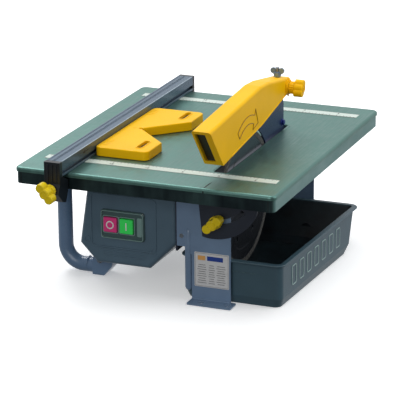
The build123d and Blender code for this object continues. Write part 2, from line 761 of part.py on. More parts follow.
with BuildPart() as housing_front_shell:
    add(housing_shell(HOUSING_FRONT, -1).part)
    with BuildSketch(upright(BLADE_Y)):
        with Locations(*BOSS_PLACES):
            Circle(SCREW_R)
    extrude(amount=SCREW_DEPTH, mode=Mode.SUBTRACT)
    with BuildSketch(upright(HOUSING_FRONT + HOUSING_WALL)):
        with Locations((SWITCH_BODY_X, SWITCH_Z)):
            Rectangle(SWITCH_POCKET_W, SWITCH_POCKET_H)
    extrude(amount=HOUSING_WALL, mode=Mode.SUBTRACT)
save(housing_front_shell, "housing_front_shell")

with BuildPart() as housing_rear_shell:
    add(housing_shell(HOUSING_REAR, 1).part)
    with BuildSketch(upright(HOUSING_REAR)):
        with Locations(*BOSS_PLACES):
            Circle(SCREW_CLEAR_R)
    extrude(amount=HOUSING_REAR - BLADE_Y, mode=Mode.SUBTRACT)
    with BuildSketch(upright(HOUSING_REAR)):
        with Locations(*BOSS_PLACES):
            Circle(SCREW_HEAD_R)
    extrude(amount=SCREW_HEAD_H, mode=Mode.SUBTRACT)
    with BuildSketch(upright(HOUSING_REAR)):
        with Locations((VENT_X, VENT_Z)):
            with GridLocations(VENT_PITCH, 0, VENT_COUNT, 1):
                SlotOverall(VENT_L, VENT_W, rotation=90)
        with Locations((GROMMET_X, GROMMET_Z)):
            Circle(GROMMET_R)
    extrude(amount=HOUSING_WALL, mode=Mode.SUBTRACT)
save(housing_rear_shell, "housing_rear_shell")

group([headed_pin(Plane(origin=(x, HOUSING_REAR - SCREW_HEAD_H, z), x_dir=(-1, 0, 0),
                        z_dir=(0, 1, 0)),
                  SCREW_R, HOUSING_REAR - SCREW_HEAD_H - BLADE_Y + SCREW_DEPTH - 2,
                  SCREW_HEAD_R - 0.2, SCREW_HEAD_H - 0.5)
       for x, z in BOSS_PLACES], "housing_screws")

with BuildPart() as cord_grommet:
    with BuildSketch(upright(HOUSING_REAR)):
        with Locations((GROMMET_X, GROMMET_Z)):
            Circle(GROMMET_R)
    extrude(amount=HOUSING_WALL)
    with BuildSketch(upright(HOUSING_REAR)):
        with Locations((GROMMET_X, GROMMET_Z)):
            Circle(GROMMET_R + 2)
    extrude(amount=-GROMMET_OUT, taper=GROMMET_TAPER)
    with BuildSketch(upright(HOUSING_REAR - HOUSING_WALL)):
        with Locations((GROMMET_X, GROMMET_Z)):
            Circle(CORD_R)
    extrude(amount=-HOUSING_WALL - GROMMET_OUT, mode=Mode.SUBTRACT)
save(cord_grommet, "cord_grommet")

# ---------------------------------------------------------------- switch
with BuildPart() as switch_bezel:
    with BuildSketch(upright(HOUSING_FRONT)):
        with Locations((SWITCH_X, SWITCH_Z)):
            RectangleRounded(BEZEL_W, BEZEL_H, 4)
    extrude(amount=BEZEL_T)
    fillet(faces().sort_by(Axis.Y)[0].edges(), 1)
    with BuildSketch(upright(HOUSING_FRONT)):
        with Locations((STOP_X, SWITCH_Z), (START_X, SWITCH_Z)):
            RectangleRounded(BUTTON_W + 2 * GAP, BUTTON_H + 2 * GAP, 1.5)
    extrude(amount=BEZEL_T, mode=Mode.SUBTRACT)
save(switch_bezel, "switch_bezel")

with BuildPart() as switch_body:
    with BuildSketch(upright(HOUSING_FRONT + 2 * HOUSING_WALL)):
        with Locations((SWITCH_BODY_X, SWITCH_Z)):
            Rectangle(SWITCH_POCKET_W, SWITCH_POCKET_H)
    extrude(amount=-SWITCH_BODY_D)
save(switch_body, "switch_body")


def push_button(x):
    """Square cap that stands proud of the bezel, with a stem back to the switch."""
    inner = HOUSING_FRONT + 2 * HOUSING_WALL - BUTTON_TRAVEL - GAP
    outer = HOUSING_FRONT - BEZEL_T - BUTTON_PROUD
    with BuildPart() as button:
        with BuildSketch(upright(inner)):
            with Locations((x, SWITCH_Z)):
                RectangleRounded(BUTTON_W, BUTTON_H, 1.5)
        extrude(amount=inner - outer)
        fillet(faces().sort_by(Axis.Y)[0].edges(), 1)
    return button


stop_button = push_button(STOP_X)
save(stop_button, "stop_button")
start_button = push_button(START_X)
save(start_button, "start_button")


# ---------------------------------------------------------------- legs
def leg(y):
    """Bent tube: down from the table's underside, then in under the housing."""
    top = TABLE_UNDER - LEG_PAD_T
    with BuildPart() as tube:
        with BuildLine() as route:
            FilletPolyline((LEG_X, y, top), (LEG_X, y, LEG_R), (LEG_END_X, y, LEG_R), radius=LEG_BEND)
        with BuildSketch(Plane(origin=(LEG_X, y, top), x_dir=(1, 0, 0), z_dir=(0, 0, -1))):
            Circle(LEG_R)
        sweep(path=route.wires()[0])
    return tube


def corner_point(part_way):
    """Point on the housing's sloping lower left face, from its bottom edge upwards."""
    return (HOUSING_BOTTOM_LEFT + part_way * (HOUSING_LEFT - HOUSING_BOTTOM_LEFT),
            HOUSING_BOTTOM + part_way * (HOUSING_LEFT_Z - HOUSING_BOTTOM))


def leg_clamp(y):
    """Cast shoe that ties the tube's end to the housing's lower corner."""
    with BuildPart() as shoe:
        with BuildSketch(upright(y + CLAMP_W / 2)):
            with BuildLine():
                Polyline((LEG_END_X, GAP), (LEG_END_X, 2 * LEG_R), corner_point(0.6),
                         corner_point(0), (HOUSING_BOTTOM_LEFT + CLAMP_TOE, HOUSING_BOTTOM),
                         (HOUSING_BOTTOM_LEFT + CLAMP_TOE / 2, CLAMP_HEEL_Z),
                         (LEG_END_X + CLAMP_SOLE, GAP), close=True)
            make_face()
        extrude(amount=CLAMP_W)
        fillet(edges().filter_by(Axis.X).group_by(Axis.Z)[0], 3)
    return shoe


front_leg = leg(LEG_YS[0])
save(front_leg, "front_leg")
rear_leg = leg(LEG_YS[1])
save(rear_leg, "rear_leg")
group([leg_clamp(y) for y in LEG_YS], "leg_clamps")
group([round_bar(Plane(origin=(LEG_X, y, TABLE_UNDER - LEG_PAD_T)), LEG_R + 0.5, LEG_PAD_T - GAP)
       for y in LEG_YS], "leg_pads")


# ---------------------------------------------------------------- riving knife
with BuildPart() as knife_bracket:
    with BuildSketch(sideways(FRAME_RIGHT)):
        with Locations((KNIFE_ARM_Y, KNIFE_PLATE_Z)):
            Rectangle(KNIFE_PLATE_W, KNIFE_PLATE_H)
    extrude(amount=KNIFE_PAD_T)
    with BuildSketch(sideways(FRAME_RIGHT)):
        with Locations((KNIFE_ARM_Y, KNIFE_ARM_Z)):
            Rectangle(KNIFE_ARM_W, KNIFE_ARM_H)
    extrude(amount=-KNIFE_T / 2 - FRAME_RIGHT)
    with BuildSketch(sideways(-KNIFE_T / 2)):
        with Locations((KNIFE_ARM_Y, KNIFE_ARM_Z + (KNIFE_PAD_H - KNIFE_ARM_H) / 2)):
            Rectangle(KNIFE_ARM_W, KNIFE_PAD_H)
        with Locations(*[(y, KNIFE_BOLT_Z) for y in KNIFE_BOLT_YS]):
            Circle(FRAME_BOLT_R, mode=Mode.SUBTRACT)
    extrude(amount=-KNIFE_PAD_T)
save(knife_bracket, "knife_bracket")


def knife_arc_point(z):
    """Point on the knife's front edge, which keeps an even gap to the blade."""
    edge_r = BLADE_R + KNIFE_GAP
    return (BLADE_Y + math.sqrt(edge_r ** 2 - (z - BLADE_Z) ** 2), z)


with BuildPart() as riving_knife:
    tip_z = TABLE_Z + 22
    with BuildSketch(sideways(-KNIFE_T / 2)):
        with BuildLine():
            RadiusArc(knife_arc_point(KNIFE_BOTTOM), knife_arc_point(tip_z), -(BLADE_R + KNIFE_GAP))
            Polyline(knife_arc_point(tip_z), (GUARD_PIVOT_Y - KNIFE_HEAD_R + 1, GUARD_PIVOT_Z + 3),
                     (GUARD_PIVOT_Y + KNIFE_HEAD_R, GUARD_PIVOT_Z), (KNIFE_REAR - 5, TABLE_Z + 46),
                     (KNIFE_REAR, TABLE_Z + 34), (KNIFE_REAR, KNIFE_BOTTOM),
                     knife_arc_point(KNIFE_BOTTOM))
        make_face()
        with Locations((GUARD_PIVOT_Y, GUARD_PIVOT_Z)):
            Circle(KNIFE_HEAD_R)
            Circle(PIVOT_R + RUNNING, mode=Mode.SUBTRACT)
        with Locations(*[(y, KNIFE_BOLT_Z) for y in KNIFE_BOLT_YS]):
            Circle(FRAME_BOLT_R, mode=Mode.SUBTRACT)
    extrude(amount=KNIFE_T)
save(riving_knife, "riving_knife")

group([headed_pin(Plane(origin=(KNIFE_T / 2, y, KNIFE_BOLT_Z), x_dir=(0, 1, 0), z_dir=(1, 0, 0)),
                  FRAME_BOLT_R, KNIFE_T + KNIFE_PAD_T + BOLT_HEAD_H, FRAME_BOLT_R * 1.8, BOLT_HEAD_H)
       for y in KNIFE_BOLT_YS], "knife_bolts")

# ---------------------------------------------------------------- guard
GUARD_OUTLINE = ((-217, 76), (-34, 89), (-4, 87), (76, 73.5), (76, 64), (70, 55), (46, 51),
                 (-34, 36), (-114, 27.6), (-143, 24), (-172, 20.5))
GUARD_HOLLOW = ((-211.3, 73.9), (-34, 86.5), (-4, 84.5), (90, 68.6), (90, 0), (-151.4, 0))
MOUTH_SLOT = ((-225, 71.5), (-205, 71.5), (-164, 26), (-190, 26))
MOUTH_LEFT = -10.0
MOUTH_RIGHT = 4.5


def raised(points):
    """Side-view points measured from the table's surface."""
    return [(y, TABLE_Z + z) for y, z in points]


with BuildPart() as guard_shell:
    with BuildSketch(sideways(-GUARD_HALF)):
        Polygon(*raised(GUARD_OUTLINE), align=None)
    extrude(amount=2 * GUARD_HALF)
    top_edges = edges().filter_by(lambda e: abs(e.center().X) > GUARD_HALF - 0.1
                                  and e.center().Z > TABLE_Z + 74 and e.length > 20)
    fillet(top_edges, 4)
    with BuildSketch(sideways(-GUARD_HALF + GUARD_WALL)):
        Polygon(*raised(GUARD_HOLLOW), align=None)
    extrude(amount=2 * (GUARD_HALF - GUARD_WALL), mode=Mode.SUBTRACT)
    with BuildSketch(sideways(MOUTH_LEFT)):
        Polygon(*raised(MOUTH_SLOT), align=None)
    extrude(amount=MOUTH_RIGHT - MOUTH_LEFT, mode=Mode.SUBTRACT)
    with BuildSketch(sideways(GUARD_HALF)):
        with Locations((GUARD_PIVOT_Y, GUARD_PIVOT_Z)):
            Circle(GUARD_BOSS_R)
    extrude(amount=GUARD_BOSS_T)
    with BuildSketch(sideways(-GUARD_HALF)):
        with Locations((GUARD_PIVOT_Y, GUARD_PIVOT_Z)):
            Circle(PIVOT_R)
    extrude(amount=2 * GUARD_HALF + GUARD_BOSS_T, mode=Mode.SUBTRACT)
    with BuildSketch(level(STUD_BOTTOM)):
        with Locations((0, STUD_Y)):
            Circle(STUD_R)
    extrude(amount=STUD_TOP - STUD_BOTTOM, mode=Mode.SUBTRACT)
save(guard_shell, "guard_shell")

guard_pivot_bolt = headed_pin(Plane(origin=(-GUARD_HALF, GUARD_PIVOT_Y, GUARD_PIVOT_Z),
                                    x_dir=(0, 1, 0), z_dir=(-1, 0, 0)),
                              PIVOT_R, 2 * GUARD_HALF + GUARD_BOSS_T + KNOB_HUB_H + KNOB_WING_H / 3,
                              2 * PIVOT_R, BOLT_HEAD_H + 1)
save(guard_pivot_bolt, "guard_pivot_bolt")

knife_side = KNIFE_T / 2 + 2 * RUNNING
spacer_l = GUARD_HALF - GUARD_WALL - knife_side
group([round_bar(Plane(origin=(x, GUARD_PIVOT_Y, GUARD_PIVOT_Z), x_dir=(0, 1, 0), z_dir=(1, 0, 0)),
                 SPACER_R, spacer_l, PIVOT_R)
       for x in (-GUARD_HALF + GUARD_WALL, knife_side)], "guard_spacers")

knob_x = GUARD_HALF + GUARD_BOSS_T + GAP
guard_knob = wing_knob(Plane(origin=(knob_x, GUARD_PIVOT_Y, GUARD_PIVOT_Z),
                             x_dir=(0, 1, 0), z_dir=(1, 0, 0)),
                       PIVOT_R + RUNNING, GUARD_KNOB_TURN, GUARD_KNOB_SPAN)
save(guard_knob, "guard_knob")

with BuildPart() as guard_stud:
    with BuildSketch(level(STUD_BOTTOM)):
        with Locations((0, STUD_Y)):
            Circle(STUD_R)
    extrude(amount=STUD_TOP - STUD_BOTTOM)
save(guard_stud, "guard_stud")

with BuildPart() as wing_nut:
    with BuildSketch(level(WING_NUT_Z)):
        with Locations((0, STUD_Y)):
            Circle(WING_NUT_R)
    extrude(amount=WING_NUT_H)
    with BuildSketch(upright(STUD_Y + WING_T / 2)):
        with Locations((0, WING_NUT_Z + WING_NUT_H)):
            Rectangle(2 * WING_REACH, WING_NUT_H)
            with Locations((-WING_REACH, WING_NUT_H / 3), (WING_REACH, WING_NUT_H / 3)):
                Ellipse(WING_RX, WING_RZ)
    extrude(amount=WING_T)
    with BuildSketch(level(WING_NUT_Z)):
        with Locations((0, STUD_Y)):
            Circle(STUD_R + RUNNING)
    extrude(amount=STUD_TOP - WING_NUT_Z, mode=Mode.SUBTRACT)
save(wing_nut, "wing_nut")


# ---------------------------------------------------------------- fence
with BuildPart() as fence_rail:
    with BuildSketch(upright(FENCE_REAR)):
        with Locations((FENCE_X, FENCE_Z + FENCE_H / 2)):
            Rectangle(FENCE_W, FENCE_H)
            Rectangle(FENCE_W - 2 * FENCE_WALL, FENCE_H - 2 * FENCE_WALL, mode=Mode.SUBTRACT)
    extrude(amount=FENCE_REAR - FENCE_FRONT)
    with BuildSketch(upright(FENCE_REAR)):
        with Locations((FENCE_X + FENCE_W / 2 - GROOVE_D / 2 - 1, GROOVE_Z)):
            Rectangle(GROOVE_D + 2, GROOVE_H + 2 * FENCE_WALL)
    extrude(amount=FENCE_REAR - FENCE_FRONT)
    with BuildSketch(upright(FENCE_REAR)):
        with Locations((FENCE_X + FENCE_W / 2 - GROOVE_D / 2, GROOVE_Z)):
            Rectangle(GROOVE_D, GROOVE_H)
    extrude(amount=FENCE_REAR - FENCE_FRONT, mode=Mode.SUBTRACT)
save(fence_rail, "fence_rail")

CLAMP_OUTLINE = ((-228, 20.5), (-236, 20.5), (-236, -8), (-242, -20), (-228, -34), (-219, -36.5),
                 (-211.5, -21), (-211.5, -8), (-228, 0))
HOOK_OUTLINE = ((212, 20.5), (219, 20.5), (219, -27), (203, -27), (203, -23), (212, -23))


def fence_end(outline):
    """Moulded end piece with the fence's width, from its side-view outline."""
    with BuildPart() as end_piece:
        with BuildSketch(sideways(FENCE_X - FENCE_W / 2)):
            Polygon(*raised(outline), align=None)
        extrude(amount=FENCE_W)
    return end_piece


with BuildPart() as fence_clamp:
    add(fence_end(CLAMP_OUTLINE).part)
    with BuildSketch(upright(FENCE_FRONT + 20)):
        with Locations((FENCE_X, FENCE_SCREW_Z)):
            Circle(PIVOT_R + RUNNING)
    extrude(amount=40, mode=Mode.SUBTRACT)
save(fence_clamp, "fence_clamp")
fence_hook = fence_end(HOOK_OUTLINE)
save(fence_hook, "fence_hook")

with BuildPart() as fence_screw:
    with BuildSketch(upright(TABLE_SHEET - TABLE_D / 2 - GAP)):
        with Locations((FENCE_X, FENCE_SCREW_Z)):
            Circle(PIVOT_R)
    extrude(amount=FENCE_SCREW_L)
save(fence_screw, "fence_screw")
fence_knob = wing_knob(outward_plane(FENCE_X, FENCE_KNOB_Y, FENCE_SCREW_Z, -1), PIVOT_R,
                       FENCE_KNOB_TURN)
save(fence_knob, "fence_knob")

# ---------------------------------------------------------------- angle guide
with BuildPart() as angle_guide:
    vertex_x = GUIDE_RIGHT - NOTCH_HALF
    guide_bottom = TABLE_Z + 2 * RULER_T
    with BuildSketch(level(guide_bottom)):
        with Locations(((GUIDE_LEFT + GUIDE_RIGHT) / 2, GUIDE_Y)):
            RectangleRounded(GUIDE_RIGHT - GUIDE_LEFT, 2 * GUIDE_HALF, GUIDE_CORNER)
        Polygon((vertex_x, GUIDE_Y), (vertex_x + 2 * NOTCH_HALF, GUIDE_Y - 2 * NOTCH_HALF),
                (vertex_x + 2 * NOTCH_HALF, GUIDE_Y + 2 * NOTCH_HALF),
                align=None, mode=Mode.SUBTRACT)
        with Locations((vertex_x, GUIDE_Y)):
            Circle(GUIDE_RELIEF_R, mode=Mode.SUBTRACT)
    extrude(amount=GUIDE_T)
    fillet(faces().sort_by(Axis.Z)[-1].edges(), GUIDE_EDGE)
    with BuildSketch(level(guide_bottom + GUIDE_T)):
        with Locations(*[(GUIDE_SLOT_X, y) for y in GUIDE_SLOT_YS]):
            SlotOverall(GUIDE_SLOT_L, GUIDE_SLOT_W, rotation=90)
    extrude(amount=-GUIDE_SLOT_DEPTH, mode=Mode.SUBTRACT)
save(angle_guide, "angle_guide")

with BuildPart() as guide_key:
    with BuildSketch(upright(GUIDE_Y + KEY_L / 2)):
        with Locations((GUIDE_LEFT - (GROOVE_D - 1) / 2, GROOVE_Z)):
            Rectangle(GROOVE_D - 1, GROOVE_H - 2 * GAP)
    extrude(amount=KEY_L)
save(guide_key, "guide_key")


# ---------------------------------------------------------------- water tank
def tank_section(z, inset, lean, rear_slope):
    """Plan outline of the tank at one height."""
    left = TANK_LEFT + inset + lean
    front = TANK_FRONT + inset + lean
    rear = TANK_REAR - inset - lean - rear_slope
    with BuildSketch(level(z)) as section:
        with BuildLine():
            FilletPolyline((left, front), (TANK_RIGHT_FRONT - inset - lean, front),
                           (TANK_RIGHT_REAR - inset - lean, rear), (left, rear),
                           radius=TANK_CORNER - inset, close=True)
        make_face()
    return section.sketch.faces()[0]


def tank_sections(inset, bottom):
    """The foot, the top of the leaning band and the rim, inset by the wall."""
    band_slope = TANK_REAR_SLOPE * (1 - TANK_BAND / TANK_H)
    return (tank_section(bottom, inset, TANK_LEAN, TANK_REAR_SLOPE),
            tank_section(TANK_BAND, inset, 0, band_slope),
            tank_section(TANK_H, inset, 0, 0))


outer_foot, outer_band, outer_rim = tank_sections(0, 0)
inner_foot, inner_band, inner_rim = tank_sections(TANK_WALL, TANK_WALL)
rim_plan = tank_section(TANK_H - TANK_WALL, -TANK_RIM, 0, 0)
with BuildPart() as water_tank:
    loft([outer_foot, outer_band])
    loft([outer_band, outer_rim])
    extrude(rim_plan, amount=TANK_WALL)
    loft([inner_foot, inner_band], mode=Mode.SUBTRACT)
    loft([inner_band, inner_rim], mode=Mode.SUBTRACT)
save(water_tank, "water_tank")

# ---------------------------------------------------------------- tilt knobs
front_tilt_knob = wing_knob(outward_plane(0, -QUADRANT_OUT - GAP, TILT_BOLT_Z, -1),
                            TILT_BOLT_R + RUNNING, TILT_KNOB_TURN)
save(front_tilt_knob, "front_tilt_knob")
rear_tilt_knob = wing_knob(outward_plane(0, QUADRANT_OUT + GAP, TILT_BOLT_Z, 1),
                           TILT_BOLT_R + RUNNING, TILT_KNOB_TURN)
save(rear_tilt_knob, "rear_tilt_knob")
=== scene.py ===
"""Wet tile saw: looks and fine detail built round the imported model. Metres, CAD frame."""

import json
import math

import bmesh
import bpy
from mathutils import Matrix, Vector


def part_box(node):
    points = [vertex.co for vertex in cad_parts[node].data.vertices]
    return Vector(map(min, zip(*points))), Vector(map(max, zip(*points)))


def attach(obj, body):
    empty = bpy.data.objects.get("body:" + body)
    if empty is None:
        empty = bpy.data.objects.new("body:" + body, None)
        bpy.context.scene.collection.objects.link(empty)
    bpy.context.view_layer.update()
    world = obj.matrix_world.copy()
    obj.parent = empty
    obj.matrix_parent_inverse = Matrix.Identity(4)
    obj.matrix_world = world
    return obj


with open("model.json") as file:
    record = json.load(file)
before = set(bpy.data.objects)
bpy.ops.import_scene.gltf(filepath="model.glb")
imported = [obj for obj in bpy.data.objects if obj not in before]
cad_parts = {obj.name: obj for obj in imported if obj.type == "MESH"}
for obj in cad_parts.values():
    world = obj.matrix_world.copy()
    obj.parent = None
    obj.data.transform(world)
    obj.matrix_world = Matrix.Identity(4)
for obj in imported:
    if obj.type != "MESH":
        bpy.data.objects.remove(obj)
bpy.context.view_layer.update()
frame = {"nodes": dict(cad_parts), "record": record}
nodes = frame["nodes"]
MM = 0.001


def middle_of(node):
    """The middle of a CAD piece's box."""
    return [(low + high) / 2 for low, high in zip(*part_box(node))]


# ------------------------------------------------------------------ camera
CAMERA_AZIMUTH = math.radians(22.17)
CAMERA_ELEVATION = math.radians(18.19)
CAMERA_ROLL = math.radians(-0.47)
CAMERA_LENS = 209.05
CAMERA_AWAY = 3.129       # metres from the middle of the table top
CAMERA_RIGHT = -0.0045    # and how far it is moved sideways and up from there
CAMERA_UP = -0.0847

table_low, table_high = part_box("table_top")
table_middle = Vector((*middle_of("table_top")[:2], table_high[2]))


def aim_camera():
    """Puts the camera to the right of the operator's side, a little above the table."""
    flat = math.cos(CAMERA_ELEVATION)
    back = Vector((math.sin(CAMERA_AZIMUTH) * flat, -math.cos(CAMERA_AZIMUTH) * flat,
                   math.sin(CAMERA_ELEVATION)))
    right = Vector((0, 0, 1)).cross(back).normalized()
    up = back.cross(right)
    turned_right = math.cos(CAMERA_ROLL) * right + math.sin(CAMERA_ROLL) * up
    turned_up = math.cos(CAMERA_ROLL) * up - math.sin(CAMERA_ROLL) * right
    place = (table_middle + CAMERA_RIGHT * turned_right + CAMERA_UP * turned_up
             + CAMERA_AWAY * back)
    camera = bpy.data.objects.new("camera", bpy.data.cameras.new("camera"))
    bpy.context.scene.collection.objects.link(camera)
    camera.data.sensor_width = 36.0
    camera.data.lens = CAMERA_LENS
    camera.data.clip_start, camera.data.clip_end = 0.1, 50.0
    turn = Matrix((turned_right, turned_up, back)).transposed().to_4x4()
    camera.matrix_world = Matrix.Translation(place) @ turn
    bpy.context.scene.camera = camera


aim_camera()


# ------------------------------------------------------------------ materials
def rgb(red, green, blue):
    """Linear colour from screen values of 0 to 255."""
    return tuple((value / 255 / 12.92) if value < 10.3 else ((value / 255 + 0.055) / 1.055) ** 2.4
                 for value in (red, green, blue)) + (1.0,)


def shade(colour, factor):
    return tuple(min(1.0, channel * factor) for channel in colour[:3]) + (1.0,)


class Nodes:
    """Adds and links the shader nodes of one material."""

    def __init__(self, name):
        self.material = bpy.data.materials.new(name)
        self.material.use_nodes = True
        self.tree = self.material.node_tree
        self.shader = self.tree.nodes["Principled BSDF"]
        self.place = self.add("ShaderNodeTexCoord").outputs["Object"]

    def add(self, kind, inputs=(), **settings):
        made = self.tree.nodes.new(kind)
        for key, value in settings.items():
            setattr(made, key, value)
        for key, value in dict(inputs).items():
            self.feed(made.inputs[key], value)
        return made

    def feed(self, socket, value):
        """Links an output to a socket, or sets a plain value on it."""
        if isinstance(value, bpy.types.NodeSocket):
            self.tree.links.new(value, socket)
        else:
            socket.default_value = value

    def noise(self, scale, detail=3.0, stretch=(1, 1, 1)):
        where = self.add("ShaderNodeMapping", {"Vector": self.place, "Scale": stretch})
        return self.add("ShaderNodeTexNoise", {"Vector": where.outputs["Vector"], "Scale": scale,
                                               "Detail": detail}).outputs["Fac"]

    def span(self, factor, low, high, start=0.3, end=0.7):
        """A number that runs from low to high as factor runs from start to end."""
        made = self.add("ShaderNodeMapRange", {"Value": factor, "From Min": start, "From Max": end,
                                               "To Min": low, "To Max": high})
        return made.outputs["Result"]

    def mix(self, factor, first, second):
        """A colour between two; a Mix node keeps its colour sockets at 6, 7 and out 2."""
        return self.add("ShaderNodeMix", {0: factor, 6: first, 7: second},
                        data_type="RGBA").outputs[2]

    def math(self, operation, first, second=0.0):
        return self.add("ShaderNodeMath", {0: first, 1: second}, operation=operation).outputs[0]

    def drive(self, **sockets):
        """Links outputs to the shader's sockets, and sets plain values on them."""
        for key, value in sockets.items():
            self.feed(self.shader.inputs[key.replace("_", " ")], value)

    @property
    def colour(self):
        """What colours the surface so far."""
        return self.shader.inputs["Base Color"].links[0].from_socket


ROUND_EDGE = 0.5 * MM


def layered(name, colour, rough=0.45, metal=0.0, mottle=0.14, mottle_scale=22.0, grain=900.0,
            bump=0.1, depth=0.2 * MM, stretch=(1, 1, 1), wear=0.0, wear_colour=None, coat=0.0,
            rough_spread=0.09, grime=0.0, gloss=0.5):
    """Mottled colour, fine grain in bump and gloss, softened edges with wear, darker grime."""
    made = Nodes(name)
    cloud = made.noise(mottle_scale, 4.0, stretch)
    fine = made.noise(grain, 2.0, stretch)
    tint = made.mix(made.span(cloud, 0.0, 1.0), shade(colour, 1 - mottle),
                    shade(colour, 1 + mottle))
    tint = made.mix(made.span(fine, 0.0, 0.25), tint, shade(colour, 1 - 2 * mottle))
    rounded = made.add("ShaderNodeBevel", {"Radius": ROUND_EDGE}, samples=4).outputs["Normal"]
    roughness = made.span(fine, rough - rough_spread, rough + rough_spread)
    if wear:
        flat = made.add("ShaderNodeNewGeometry").outputs["Normal"]
        level = made.add("ShaderNodeVectorMath", {0: rounded, 1: flat},
                         operation="DOT_PRODUCT").outputs["Value"]
        bend = made.span(level, 1.0, 0.0, 0.93, 0.998)
        patch = made.math("MULTIPLY", bend, made.span(made.noise(160.0), 0.0, wear, 0.35, 0.6))
        tint = made.mix(patch, tint, wear_colour or shade(colour, 2.2))
        roughness = made.math("SUBTRACT", roughness, made.math("MULTIPLY", patch, 0.1))
    if grime:
        dirt = made.span(made.noise(9.0, 6.0), 0.0, grime, 0.45, 0.75)
        tint = made.mix(dirt, tint, shade(colour, 0.55))
    relief = made.add("ShaderNodeBump", {"Strength": bump, "Distance": depth, "Height": fine,
                                         "Normal": rounded}).outputs["Normal"]
    made.drive(Base_Color=tint, Roughness=roughness, Normal=relief, Metallic=metal,
               Coat_Weight=coat, Coat_Roughness=0.12, Specular_IOR_Level=gloss)
    return made


def surface(name, colour, **settings):
    """The layered material by itself, where no more nodes are added to it."""
    return layered(name, colour, **settings).material


def galvanised(name, colour):
    """Zinc coated sheet: faint spangles, long rub marks and dull patches."""
    made = layered(name, colour, rough=0.33, metal=0.86, mottle=0.07, mottle_scale=7.0,
                   grain=420.0, bump=0.04, wear=0.5, grime=0.12)
    spangle = made.add("ShaderNodeTexVoronoi", {"Vector": made.place, "Scale": 110.0,
                                                "Randomness": 1.0}).outputs["Color"]
    value = made.add("ShaderNodeSeparateColor", {"Color": spangle}).outputs["Red"]
    rub = made.noise(60.0, 5.0, (9.0, 0.35, 1.0))
    tint = made.mix(made.span(value, 0.0, 0.16, 0.0, 1.0), made.colour, shade(colour, 1.35))
    tint = made.mix(made.span(rub, 0.0, 0.3, 0.55, 0.75), tint, shade(colour, 1.5))
    gloss = made.math("ADD", made.span(rub, 0.33, 0.5), made.span(value, -0.04, 0.04, 0.0, 1.0))
    made.drive(Base_Color=tint, Roughness=gloss)
    return made


def front_shaded_skirt(name, colour):
    """The same sheet, with its front face painted dark as shade, broken up by upright streaks."""
    made = galvanised(name, colour)
    facing = made.add("ShaderNodeSeparateXYZ",
                      {"Vector": made.add("ShaderNodeNewGeometry").outputs["Normal"]}).outputs["Y"]
    front_shade = made.math("MULTIPLY", made.span(facing, 1.0, 0.0, -0.9, -0.5),
                     made.span(made.noise(26.0, 4.0, (1.0, 1.0, 0.25)), 0.72, 1.0))
    # Painted shade: faces that look towards the front are mixed into a dark tone.
    made.drive(Base_Color=made.mix(front_shade, made.colour, rgb(26, 34, 40)))
    return made.material


def turned(name, colour, centre, axis, rings=900.0):
    """Steel with fine circular marks round an axis through centre."""
    made = layered(name, colour, rough=0.3, metal=0.95, mottle=0.08, grain=1200.0, bump=0.03)
    away = made.add("ShaderNodeVectorMath", {0: made.place, 1: tuple(-c for c in centre)},
                    operation="ADD").outputs["Vector"]
    across = made.add("ShaderNodeVectorMath",
                      {0: away, 1: tuple(0.0 if i == axis else 1.0 for i in range(3))},
                      operation="MULTIPLY").outputs["Vector"]
    radius = made.add("ShaderNodeVectorMath", {0: across}, operation="LENGTH").outputs["Value"]
    wave = made.math("SINE", made.math("MULTIPLY", radius, rings * math.tau))
    blur = made.math("MULTIPLY", wave, made.span(made.noise(30.0), 0.2, 1.0))
    tint = made.mix(made.span(blur, 0.0, 0.35, -1.0, 1.0), made.colour, shade(colour, 0.6))
    made.drive(Base_Color=tint, Roughness=made.span(blur, 0.24, 0.42, -1.0, 1.0))
    return made.material


def tank_moulding_shaded_inside(name, colour):
    """Satin plastic whose inner walls and floor are painted dark as shade, broken up by noise."""
    made = layered(name, colour, rough=0.4, mottle=0.09, grain=1300.0, bump=0.2, wear=0.5,
                   wear_colour=rgb(130, 160, 152), grime=0.2)
    tank_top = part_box("water_tank")[1][2]
    inward = made.add("ShaderNodeVectorMath", {0: middle_of("water_tank"), 1: made.place},
                      operation="SUBTRACT").outputs["Vector"]
    flat = made.add("ShaderNodeNewGeometry").outputs["Normal"]
    facing = made.add("ShaderNodeVectorMath", {0: inward, 1: flat},
                      operation="DOT_PRODUCT").outputs["Value"]
    height = made.add("ShaderNodeSeparateXYZ", {"Vector": made.place}).outputs["Z"]
    inner = made.math("MULTIPLY", made.span(facing, 0.0, 1.0, 0.0, 0.004),
                      made.span(height, 1.0, 0.0, tank_top - 2 * MM, tank_top))
    shade_breakup = made.span(made.noise(34.0, 6.0), 0.75, 1.0)
    # Painted shade: inside faces below the rim are mixed into a near-black tone.
    made.drive(Base_Color=made.mix(made.math("MULTIPLY", inner, shade_breakup), made.colour,
                                   rgb(20, 24, 28)))
    return made.material


